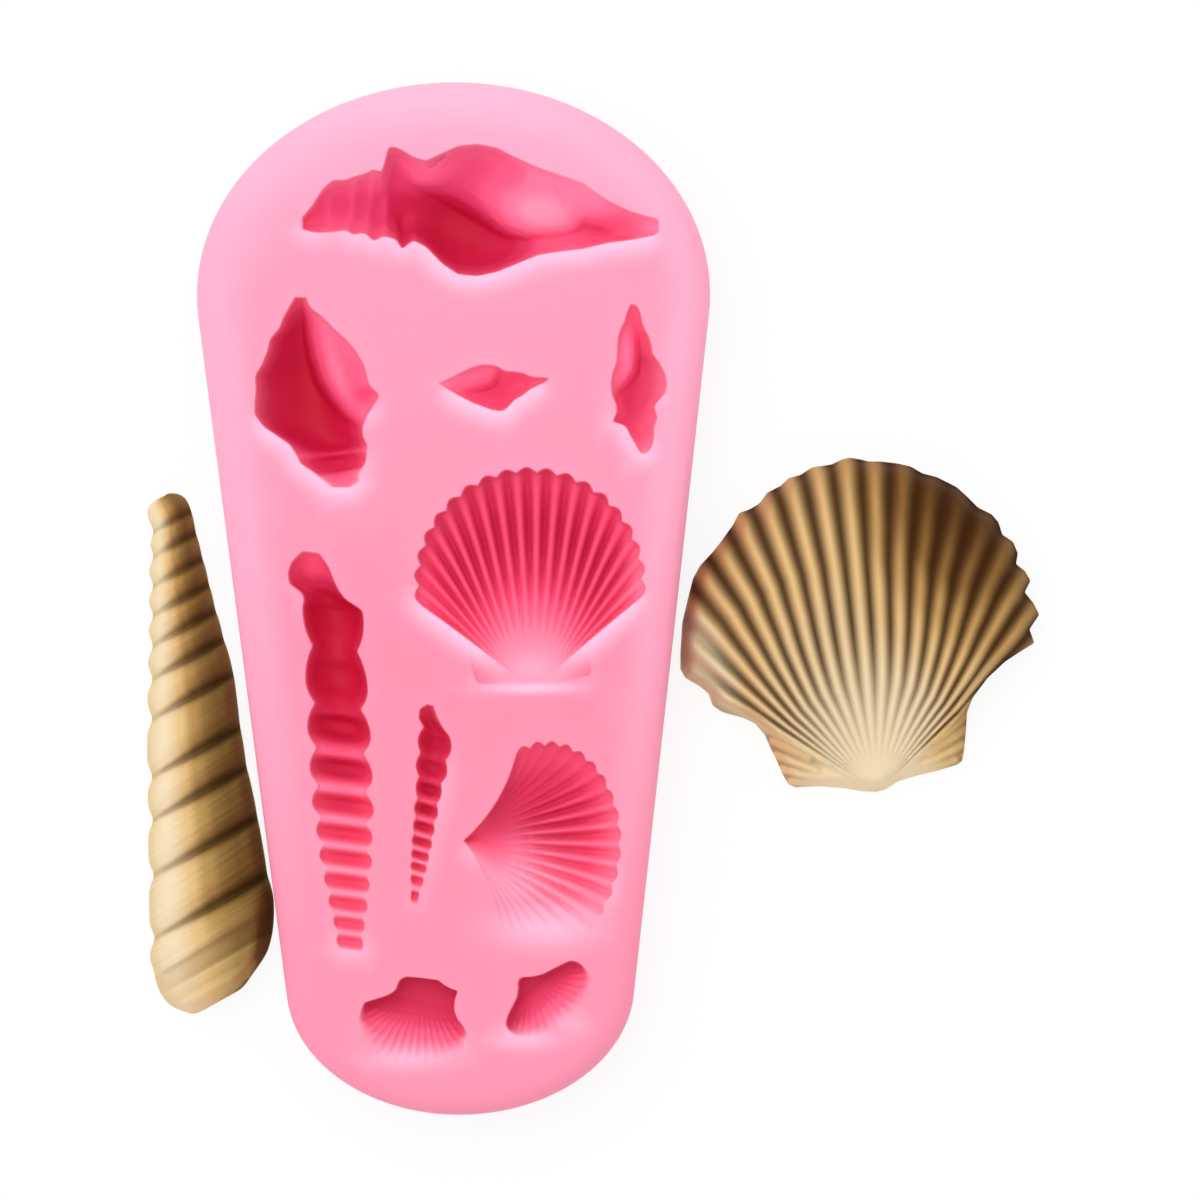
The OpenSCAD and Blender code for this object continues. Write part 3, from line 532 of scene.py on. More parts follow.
def mound(size, middle, reach, turn, strength):
    """A round lump: how much shallower it makes each point. Middle and reach are shares of the size."""
    spin = math.radians(turn)

    def share(points):
        x, y = (points - np.multiply(middle, size[:2])).T
        along = (x * math.cos(spin) + y * math.sin(spin)) / (reach[0] * size[0])
        aside = (y * math.cos(spin) - x * math.sin(spin)) / (reach[1] * size[1])
        return strength * np.exp(-(along ** 2 + aside ** 2))

    return share


def long_relief(rows, size, arch, slope=0.0, lumps=(), bump=None, grain=GRAIN, depth_round=4.0, edge=LIP,
                corner_round=0.6):
    """The relief of a long shell, in its own frame. Lumps weaken its depth, and a bump adds to it."""
    length, width, depth = size
    stops, lows, highs, deeps = np.transpose(rows)
    stations = np.linspace(stops[0], stops[-1], int((stops[-1] - stops[0]) * length / grain) + 1)
    leads = stations * length
    low_edge = softened(np.interp(stations, stops, lows), EDGE_ROUND) * width
    high_edge = softened(np.interp(stations, stops, highs), EDGE_ROUND) * width
    depths = softened(np.interp(stations, stops, deeps), depth_round) * depth
    low_line = np.column_stack([leads, low_edge])
    high_line = np.column_stack([leads + slope * (high_edge - low_edge), high_edge])
    outline = redrawn(np.vstack([low_line, high_line[::-1]]), grain * OUTLINE_GRAIN)
    outline = np.column_stack([even_round(axis, corner_round) for axis in outline.T])
    points = []
    for lead, low, high in zip(leads[1:-1], low_edge[1:-1], high_edge[1:-1]):
        offsets = across(high - low, grain)
        points.append(np.column_stack([lead + slope * offsets, low + offsets]))

    def shares(places):
        """Each place's station, and its share of the way across the shell there."""
        x, y = places.T
        u = x / length
        for _ in range(LONG_ROUNDS):
            u = (x - slope * (y - np.interp(u, stations, low_edge))) / length
        low = np.interp(u, stations, low_edge)
        high = np.interp(u, stations, high_edge)
        return u, np.clip((y - low) / np.maximum(high - low, 1e-6), 0, 1)

    def height(places):
        u, share = shares(places)
        value = np.interp(u, stations, depths) * np.sin(math.pi * share) ** arch
        for part in lumps:
            value = value * (1 - part(places))
        if bump is not None:
            value = value + bump(u, share)
        return np.maximum(value, 0) * lip(places, outline, edge)

    return Relief(outline, kept_within(np.vstack(points), outline, LONG_CLEAR), height, shares)


def auger_rows(head, whorls, depths, neck, floors):
    """Rows of an auger below its head, where whorls turn into rungs as the floors between them rise."""
    middles = whorls[:, 0]
    knots = np.empty(2 * len(middles) + 1)
    knots[1::2] = middles
    knots[2:-1:2] = (middles[:-1] + middles[1:]) / 2
    knots[0] = 2 * middles[0] - knots[2]
    knots[-1] = middles[-1] + (middles[-1] - knots[-3])
    stations = np.arange(head[-1, 0] + AUGER_STEP, knots[-1], AUGER_STEP)
    phase = np.interp(stations, knots, np.arange(len(knots)) / 2)
    part = phase - np.floor(phase)
    swell = np.abs(np.sin(math.pi * phase)) ** 0.7
    half = read(whorls, stations) * (neck + (1 - neck) * swell)
    steep = rise(part, 0.12, 0.2) * (1 - rise(part, 0.5, 0.4))
    between = read(floors, phase)
    depth = read(depths, stations) * (between + (1.1 - between) * steep)
    return np.vstack([head, np.column_stack([stations, -half, half, depth])])


def rib_wave(fan, angle):
    """A soft wave, 1 on a rib and 0 in a groove."""
    return (0.5 + 0.5 * np.cos(math.pi * fan.ribs * angle / fan.span)) ** RIB_POWER


def fan_relief(fan, profile, ribbing, side_fall=0.28, grain=GRAIN, fade=None, edge=None, corners=None,
               level=None):
    """The relief of a fan-shaped shell with its hinge at the origin and its rim to +Y.

    Its depth follows a profile from hinge to rim, or a level by place. Ribbing gives the ribs' strength and
    sharpness, fade the share of the depth that is left, edge the lip's radius, and corners an outline.
    """
    radius, span = fan.radius, fan.span
    angles = np.linspace(-span, span, RIM_ANGLES)
    rim_x = radius * np.sin(np.radians(angles))
    rim_y = fan.offset + fan.reach * np.cos(np.radians(angles))
    spokes, turns = polar(np.column_stack([rim_x, rim_y]))
    stops = np.linspace(0, 1, PROFILE_STOPS)
    depths = softened(read(profile, stops), PROFILE_ROUND)

    def point(angle, s):
        """Where a point of the fan lies."""
        swell = 1 - FAN_LOBE + 2 * FAN_LOBE * rib_wave(fan, angle) ** LOBE_POWER
        x = radius * swell * np.sin(np.radians(angle))
        y = fan.offset + fan.reach * swell * np.cos(np.radians(angle))
        swing = math.radians(fan.spread) * (1 - s) ** 2 * np.sin(math.pi * angle / span)
        return spun(np.hypot(x, y) * s, np.arctan2(x, y) * (1 - fan.bend * (1 - s)) + swing)

    def row(gap):
        """The points of the fan's inside at some distance within its rim."""
        s = 1 - gap / spokes.max()
        pitch = s * math.radians(2 * span) * radius / fan.ribs
        count = fan.ribs * int(np.clip(round(pitch / grain), 1, RIB_POINTS))
        return point(-span + 2 * span * np.arange(1, count) / count, np.full(count - 1, s))

    if corners is None:
        rim_angles = np.linspace(-span, span, fan.ribs * 12 + 1)
        side_stops = np.linspace(1, 0, int(spokes[0] / grain))[1:]
        rim = point(rim_angles, np.ones(len(rim_angles)))
        right = point(np.full(len(side_stops), span), side_stops)
        left = point(np.full(len(side_stops), -span), side_stops)[::-1][1:]
        outline = redrawn(np.vstack([rim, right, left]), grain * OUTLINE_GRAIN)
        points = [row(gap) for gap in across(spokes.max() * 2, grain) if gap <= spokes.max()]
    else:
        outline = rounded_outline(corners, radius, grain, SMALL_FAN_ROUND)
        points = [box_grid(outline, grain)] + [outline + gap * inward(outline) for gap in WALL_STEPS]

    def height(places):
        distance, turn = polar(places)
        s = np.full(len(places), 0.6)
        angle = turn
        for _ in range(FAN_ROUNDS):
            swing = fan.spread * (1 - s) ** 2 * np.sin(math.pi * angle / span)
            straight = (turn - swing) / (1 - fan.bend * (1 - s))
            s = np.clip(distance / np.interp(straight, turns, spokes), 0, 1.05)
            angle = (angle + np.interp(straight, turns, angles)) / 2
        aside = angle / span
        grown, sharpness = ribbing(aside, s, places / radius)
        ripple = rib_wave(fan, angle) ** sharpness - 1
        if level is None:
            share = (1 - side_fall * aside ** 2) * np.interp(s, stops, depths)
        else:
            share = level(places / radius)
        value = fan.depth * share * (1 + ripple * grown)
        if fade is not None:
            value = value * fade(aside, s)
        soft = LIP if edge is None else edge(places / radius)
        return np.maximum(value, 0) * lip(places, outline, soft)

    return Relief(outline, kept_within(np.vstack(points), outline, FAN_CLEAR), height)


def box_grid(outline, grain):
    """An even grid of points over a closed outline's box."""
    (left, low), (right, high) = outline.min(0), outline.max(0)
    return grid(np.arange(left, right, grain), np.arange(low, high, grain))


def rounded_outline(corners, size, grain, round_off):
    """A closed outline, run anticlockwise, through a few corners that it rounds off."""
    rough = redrawn(corners * size, grain / 2)
    soft = np.column_stack([even_round(axis, round_off / (grain / 2)) for axis in rough.T])
    return counterclockwise(soft[::2])


def plate_relief(corners, size, depth, fall):
    """A flat-bottomed relief with an outline of a few rounded corners, whose depth falls off by place."""
    outline = rounded_outline(corners, size, GRAIN, PLATE_ROUND)

    def height(places):
        return depth * fall(places / size) * lip(places, outline, LIP)

    return Relief(outline, kept_within(box_grid(outline, GRAIN), outline, GRAIN / 2), height)


def face_point(x_share, y_share):
    """A place on the slab's face, from shares of its width and length."""
    return np.array([x_share * WIDE_END_WIDTH, y_share * MOULD_LENGTH])


def conch_relief():
    """The conch: ribs on its spire, a swollen body and a mouth that runs down to its tip."""
    size = 47.8, 18.0, 9.5
    mouth = lump(
        size, CONCH_MOUTH, 1,
        [[0, 0], [0.7, 0.3], [1.6, 0.52], [3.0, 0.64], [5.0, 0.62], [7.0, 0.52], [9, 0.44]],
        [[0, 0], [0.05, 0.2], [0.14, 0.48], [0.3, 0.78], [0.5, 1], [0.62, 1.05], [0.72, 0.95], [0.8, 0.6],
         [1, 0.3]],
    )
    crown = mound(size, (0.655, 0.1), (0.165, 0.29), -24, 0.8)
    shoulder = mound(size, (0.31, 0.38), (0.11, 0.28), 0, 0.5)

    def spire_ribs(u, share):
        ribs = [[0.05, 0.25], [0.115, 0.35], [0.165, 0.35], [0.212, 0.5]]
        return -sum(height * bell(u - place - 0.02 * share, 0.013) for place, height in ribs)

    shape = long_relief(CONCH_ROWS, size, arch=0.45, lumps=[mouth, crown, shoulder], bump=spire_ribs)
    return placed(shape, face_point(-0.282, 0.362), -0.6)


def whelk_relief():
    """The whelk, with two steps in its spire."""
    size = 25.9, 17.2, 8.6
    mouth = lump(
        size, WHELK_MOUTH, 1,
        [[0, 0], [0.8, 0.36], [1.6, 0.52], [2.6, 0.58], [3.6, 0.54], [5.0, 0.44]],
        [[0, 0.9], [0.3, 0.95], [0.6, 1.0], [0.8, 0.9], [1, 0.8]],
    )
    crown = mound(size, (0.39, 0.2), (0.23, 0.13), 18, 0.62)

    def steps(u, share):
        return -1.5 * (bell(u - 0.835 + 0.04 * share, 0.03) + rise(u + 0.045 * share, 0.925, 0.02))

    shape = long_relief(WHELK_ROWS, size, arch=0.45, lumps=[mouth, crown], bump=steps)
    return placed(shape, face_point(-0.271, 0.293), -90.6)


def cone_relief():
    """The small cone shell."""
    size = 15.0, 6.6, 3.8
    mouth = lump(
        size, CONE_MOUTH, 1,
        [[0, 0], [0.5, 0.22], [1.0, 0.36], [1.8, 0.42], [3.5, 0.36]],
        [[0, 0.6], [0.3, 1.0], [0.8, 1.0], [1, 0.5]],
    )
    shape = long_relief(CONE_ROWS, size, arch=0.4, lumps=[mouth], grain=FINE_GRAIN)
    return placed(shape, face_point(-0.03, 0.208), -0.6)


def spindle_relief():
    """The spindle shell at the slab's right edge."""
    size = 20.3, 7.6, 4.4
    mouth = lump(
        size, SPINDLE_MOUTH, -1,
        [[0, 0], [0.5, 0.22], [1.0, 0.4], [1.7, 0.46], [3.5, 0.34]],
        [[0, 0.3], [0.2, 0.55], [0.5, 1.0], [0.75, 1.0], [1, 0.6]],
    )
    crown = mound(size, (0.33, -0.17), (0.14, 0.15), 0, 0.45)
    shape = long_relief(SPINDLE_ROWS, size, arch=0.4, lumps=[mouth, crown], grain=FINE_GRAIN)
    return placed(shape, face_point(0.359, 0.283), -90.6)


def long_auger_relief():
    """The long auger, whose whorls end in separate rungs."""
    size = 55.1, 8.65, 6.9
    depths = [[0.12, 1], [0.3, 0.95], [0.43, 0.85], [0.53, 0.66], [0.62, 0.5], [0.7, 0.4], [0.8, 0.33],
              [0.9, 0.27], [1.0, 0.2]]
    floors = [[0.5, 1.0], [1, 0.98], [2, 0.9], [3, 0.46], [4, 0.28], [5, 0.18], [6, 0.1], [7, 0.04], [8, 0]]
    rows = auger_rows(LONG_AUGER_HEAD, LONG_AUGER_WHORLS, depths, 0.7, floors)
    head = mound(size, (0.048, -0.3), (0.055, 0.29), 0, 0.38)
    shape = long_relief(rows, size, arch=0.3, slope=0.18, lumps=[head], depth_round=1.0)
    return placed(shape, face_point(-0.245, 0.049), -87.6)


def short_auger_relief():
    """The short auger beside it."""
    size = 27.0, 5.0, 4.8
    depths = [[0.12, 1], [0.43, 0.9], [0.55, 0.74], [0.7, 0.54], [0.8, 0.42], [0.9, 0.34], [1.0, 0.26]]
    floors = [[0.5, 1.0], [1, 0.94], [2, 0.84], [3, 0.56], [4, 0.4], [5, 0.28], [6, 0.16], [7, 0.06], [8, 0]]
    rows = auger_rows(SHORT_AUGER_HEAD, SHORT_AUGER_WHORLS, depths, 0.74, floors)
    head = mound(size, (0.065, 0.02), (0.06, 0.1), 37, 0.6)
    shape = long_relief(rows, size, arch=0.32, slope=0.16, lumps=[head], depth_round=1.0, grain=FINE_GRAIN)
    return placed(shape, face_point(-0.034, -0.103), -98)


def scallop_reliefs():
    """The large scallop: its fan, and the shallow ears beside its hinge."""
    fan = Fan(radius=15.4, reach=15.4, offset=14.6, span=100, ribs=19, bend=0.03, spread=12, depth=5.2)
    place, turn = face_point(0.148, -0.09), 1.2
    profile = [[0, 0.00], [0.12, 0.03], [0.28, 0.15], [0.4, 0.44], [0.52, 0.76], [0.64, 0.94], [0.76, 1.0],
               [0.9, 0.9], [1, 0.66]]

    def fade(aside, s):
        return 1 - 0.5 * np.abs(aside) ** 4

    def ribbing(aside, s, shares):
        return 0.36 * rise(s, 0.04, 0.3) * (1 - 0.4 * rise(s, 0.8, 0.2)), 1.25

    def outward(shares):
        return rise(np.abs(shares[:, 0] - 0.01), 0.22, 0.26) * rise(0.36 - shares[:, 1], 0, 0.22)

    shell = fan_relief(fan, profile, ribbing, side_fall=0.1, fade=fade)
    ears = plate_relief(SCALLOP_EARS, fan.radius, 0.6, outward)
    return [placed(shell, place, turn), placed(ears, place, turn)]


def side_scallop_relief():
    """The scallop that lies on its side, and runs out into the face along its lower edge."""
    fan = Fan(radius=14.2, reach=10.4, offset=10.9, span=118, ribs=21, bend=0.28, spread=12, depth=5.0)
    profile = [[0, 0.5], [0.15, 0.72], [0.35, 0.95], [0.55, 1.0], [0.78, 0.9], [0.92, 0.72], [1, 0.46]]

    def fade(aside, s):
        low = rise(aside, 0.1, 0.6)
        return (1 - 0.93 * rise(aside, -0.4, 1.06)) * (1 - low * rise(s, 0.7, 0.3))

    def ribbing(aside, s, shares):
        low = rise(aside, 0.05, 0.55)
        size = 0.05 + 0.52 * rise(aside, -0.66, 0.8) + 0.34 * low
        return size * rise(s, 0.22, 0.4), 1 + 1.6 * low

    return placed(fan_relief(fan, profile, ribbing, fade=fade), face_point(0.008, -0.234), -95.6)


def small_fan_relief(fan, corners, place, turn):
    """A small fan with an outline of its own, that runs out into the face along its rim."""
    def level(shares):
        return read(SMALL_FAN_LEVEL, shares[:, 1])

    def ribbing(aside, s, shares):
        low = rise(shares[:, 1], 0.8, 0.6)
        return 0.22 * rise(shares[:, 1], 0.48, 0.45) + 0.6 * low, 1 + 0.6 * low

    def edge(shares):
        return 0.2 + 1.7 * rise(shares[:, 1], 0.55, 0.6)

    even = [[0, 1], [1, 1]]
    shell = fan_relief(fan, even, ribbing, grain=FINE_GRAIN, corners=corners, edge=edge, level=level)
    return placed(shell, place, turn)


def cavities():
    """Every cavity of the mould, the small fans at its narrow end with the others."""
    left = Fan(radius=7.5, reach=6.2, offset=5.3, span=97, ribs=17, bend=0.06, spread=6, depth=4.6)
    right = Fan(radius=7.0, reach=4.8, offset=4.6, span=102, ribs=15, bend=0.16, spread=6, depth=4.2)
    return [
        conch_relief(), whelk_relief(), cone_relief(), spindle_relief(), long_auger_relief(),
        short_auger_relief(), side_scallop_relief(),
        small_fan_relief(left, LEFT_FAN_OUTLINE, face_point(-0.074, -0.373), 169),
        small_fan_relief(right, RIGHT_FAN_OUTLINE, face_point(0.127, -0.363), -140.1),
        *scallop_reliefs(),
    ]


def slab_ring(inset):
    """The slab's outline drawn in by an inset: two ellipses and the straight sides between them."""
    wide_x = WIDE_END_WIDTH / 2 - inset
    narrow_x = NARROW_END_WIDTH / 2 - inset
    wide_y = wide_x * WIDE_END_REACH / (WIDE_END_WIDTH / 2)
    narrow_y = narrow_x * NARROW_END_REACH / (NARROW_END_WIDTH / 2)
    wide_middle = MOULD_LENGTH / 2 - WIDE_END_REACH
    narrow_middle = NARROW_END_REACH - MOULD_LENGTH / 2
    low, high = -0.7, 0.0
    for _ in range(CORNER_ROUNDS):
        turn = (low + high) / 2
        lead = (math.hypot(wide_x * math.cos(turn), wide_y * math.sin(turn))
                - math.hypot(narrow_x * math.cos(turn), narrow_y * math.sin(turn))
                + (wide_middle - narrow_middle) * math.sin(turn))
        if lead > 0:
            high = turn
        else:
            low = turn

    def arc(turns, x_reach, y_reach, middle):
        """The points of an ellipse where its outward side faces each turn."""
        size = np.hypot(x_reach * np.cos(turns), y_reach * np.sin(turns))
        x = x_reach ** 2 * np.cos(turns) / size
        return np.column_stack([x, y_reach ** 2 * np.sin(turns) / size + middle])

    wide_turns = np.linspace(turn, math.pi - turn, ARC_POINTS)
    narrow_turns = np.linspace(math.pi - turn, 2 * math.pi + turn, ARC_POINTS)
    wide = arc(wide_turns, wide_x, wide_y, wide_middle)
    narrow = arc(narrow_turns, narrow_x, narrow_y, narrow_middle)
    steps = np.linspace(0, 1, SIDE_POINTS)[1:-1, None]
    left = wide[-1] + (narrow[0] - wide[-1]) * steps
    right = narrow[-1] + (wide[0] - narrow[-1]) * steps
    return np.vstack([wide, left, narrow, right])


def beside(reliefs):
    """Points that follow the cavities' outlines on the flat face."""
    found = []
    for relief in reliefs:
        for gap in HALO_STEPS:
            line = divided(closed(relief.outline), max(HALO_GRAIN, gap / 2))
            skip = max(1, int(gap / 2 / HALO_GRAIN))
            for side in (-1, 1):
                points = (line - side * gap * inward(line))[::skip]
                for other in reliefs:
                    near = np.flatnonzero(boxed(points, other.outline, gap))
                    if not len(near):
                        continue
                    close = beyond(points[near], other.outline)[0] < gap * 0.93
                    close |= inside(points[near], other.outline)
                    points = np.delete(points, near[close], axis=0)
                found.append(points)
    return np.vstack(found)


def painted_glow_share(points, reliefs):
    """How much painted glow beside a cavity each point has: most on the side away from +Y, whose wall the
    lamp lights.
    """
    painted_light = np.zeros(len(points))
    for relief in reliefs:
        outline = counterclockwise(relief.outline)
        steps = HALO_EVEN / np.linalg.norm(outline[1] - outline[0])
        south = even_round(inward(outline)[:, 1], steps)
        near = np.flatnonzero(boxed(points, outline, 3 * HALO_REACH))
        distance, index = beyond(points[near], outline)
        centre = outline.mean(0) - outline
        within = outline + 0.9 * centre / np.linalg.norm(centre, axis=1)[:, None]
        deep = even_round(rise(relief.height(within), -0.1, 1.3), steps)
        facing = HALO_TOP + (1 - HALO_TOP) * rise(0.15 + 0.95 * south)
        reach = np.where(inside(points[near], outline), HALO_INSIDE, HALO_REACH)
        painted_light[near] = np.maximum(painted_light[near], bell(distance, reach) * (facing * deep)[index])
    for x, y, x_reach, y_reach, size in GLOWS:
        painted_light = np.maximum(painted_light, size * bell(points[:, 0] - x, x_reach) * bell(points[:, 1] - y, y_reach))
    return painted_light


def rim_highlight_share(points, distance):
    """How much painted highlight the face has near the slab's rounded edge, which fades to the narrow end.
    """
    return RIM_PAINTED_HIGHLIGHT * rise(points[:, 1] / MOULD_LENGTH, -0.5, 0.5) * bell(distance, RIM_REACH)


def added(name, data):
    """A new object in the scene."""
    made = bpy.data.objects.new(name, data)
    bpy.context.scene.collection.objects.link(made)
    return made


def joined_mesh(name, points, faces, attributes, material):
    """A mesh object from points in millimetres, with one number per point in each attribute."""
    mesh = bpy.data.meshes.new(name)
    mesh.from_pydata((np.asarray(points) * MM).tolist(), [], faces)
    mesh.polygons.foreach_set("use_smooth", np.ones(len(mesh.polygons), bool))
    for key, values in attributes.items():
        attribute = mesh.attributes.new(key, "FLOAT", "POINT")
        attribute.data.foreach_set("value", np.asarray(values, np.float32))
    mesh.materials.append(material)
    mesh.validate()
    mesh.update()
    return added(name, mesh)


def triangulated(points, edges, kept=None):
    """Triangles over points that keep the given edges, and only those that kept() accepts by their middles.

    A triangle with an open side that isn't a drawn edge is a stray sliver, and is left out.
    """
    made = delaunay_2d_cdt([tuple(p) for p in points], edges, [], 0, 1e-5, True)
    places = np.array([tuple(p) for p in made[0]])
    faces = np.array(made[2])
    if kept is not None:
        faces = faces[kept(places[faces].mean(1))]
    drawn = [min(edge) * len(places) + max(edge) for edge, source in zip(made[1], made[4]) if source]
    while True:
        sides = np.sort(faces[:, [[0, 1], [1, 2], [2, 0]]], axis=2)
        keys = sides[..., 0] * len(places) + sides[..., 1]
        _, index, counts = np.unique(keys, return_inverse=True, return_counts=True)
        open_side = counts[index.reshape(keys.shape)] == 1
        stray = (open_side & ~np.isin(keys, drawn)).any(axis=1)
        if not stray.any():
            return places, faces
        faces = faces[~stray]


def loops(outlines):
    """The edges of closed outlines whose points follow one another."""
    edges = []
    first = 0
    for outline in outlines:
        count = len(outline)
        edges += [(first + i, first + (i + 1) % count) for i in range(count)]
        first += count
    return edges


def slab_levels():
    """How far in each ring below the slab's face lies, and its height: the top edge, then the back's."""
    levels = []
    for turn in np.linspace(0, math.pi / 2, TOP_ROUND_STEPS)[1:]:
        levels.append((TOP_ROUND * (1 - math.sin(turn)), MOULD_THICKNESS - TOP_ROUND * (1 - math.cos(turn))))
    for turn in np.linspace(0, math.pi / 2, BACK_ROUND_STEPS):
        levels.append((BACK_ROUND * (1 - math.cos(turn)), BACK_ROUND * (1 - math.sin(turn))))
    return levels


def mould_mesh(material):
    """The silicone slab: face with its cavities, rounded edge, sides and flat back."""
    reliefs = cavities()
    rim = slab_ring(TOP_ROUND)
    ring = redrawn(rim, 0.4)
    drawn = [rim] + [relief.outline for relief in reliefs]
    loose = np.vstack([relief.points for relief in reliefs] + [beside(reliefs)])
    places, faces = triangulated(np.vstack(drawn + [kept_within(loose, ring, RIM_CLEAR)]), loops(drawn))
    depth = np.zeros(len(places))
    for relief in reliefs:
        within = inside(places, relief.outline)
        depth[within] = np.maximum(depth[within], relief.height(places[within]))
    # Painted light: glow beside the cavities and highlight along the slab's rounded edge
    painted_light = np.maximum(painted_glow_share(places, reliefs), rim_highlight_share(places, beyond(places, ring)[0]))
    top = np.column_stack([places, MOULD_THICKNESS - depth])

    count = len(rim)
    layers = [np.column_stack([slab_ring(inset), np.full(count, z)]) for inset, z in slab_levels()]
    side = np.vstack(layers)
    starts = [0] + [len(top) + layer * count for layer in range(len(layers))]
    side_faces = []
    for above, below in zip(starts[:-1], starts[1:]):
        for i in range(count):
            k = (i + 1) % count
            side_faces.append((above + i, below + i, below + k, above + k))
    middle = len(top) + len(side)
    back = [(middle, starts[-1] + (i + 1) % count, starts[-1] + i) for i in range(count)]
    return joined_mesh(
        "silicone_mould", np.vstack([top, side, [[0, 0, 0]]]), faces.tolist() + side_faces + back,
        {
            "depth": np.append(depth, np.zeros(len(side) + 1)),
            "painted_light": np.concatenate([painted_light, rim_highlight_share(side, np.zeros(len(side))), [0]]),
        },
        material,
    )


def side_x(y):
    """Half the slab's width where it runs straight between its two ends."""
    low = NARROW_END_REACH - MOULD_LENGTH / 2
    high = MOULD_LENGTH / 2 - WIDE_END_REACH
    return (NARROW_END_WIDTH + (WIDE_END_WIDTH - NARROW_END_WIDTH) * (y - low) / (high - low)) / 2


def side_cosine():
    """The cosine of the lean of the slab's straight sides."""
    run = MOULD_LENGTH - WIDE_END_REACH - NARROW_END_REACH
    return math.cos(math.atan2((WIDE_END_WIDTH - NARROW_END_WIDTH) / 2, run))


def cast_mesh(name, relief, attributes, place, turn, material):
    """A casting: its relief over a short wall, and a flat back."""
    outline = relief.outline
    count = len(outline)

    def kept(middles):
        return inside(middles, outline)

    places, faces = triangulated(np.vstack([outline, relief.points]), loops([outline]), kept)
    under = triangulated(outline, loops([outline]), kept)[1]
    start = len(places)
    walls = [(i, start + i, start + (i + 1) % count, (i + 1) % count) for i in range(count)]
    back = [tuple(start + i for i in reversed(face)) for face in under.tolist()]
    flat = turned(np.vstack([places, outline]), turn) + place
    heights = np.concatenate([relief.height(places) + CAST_WALL, np.zeros(count)])
    values = {key: np.concatenate([found, found[:count]]) for key, found in attributes(places).items()}
    points = np.column_stack([flat, heights])
    return joined_mesh(name, points, faces.tolist() + walls + back, values, material)


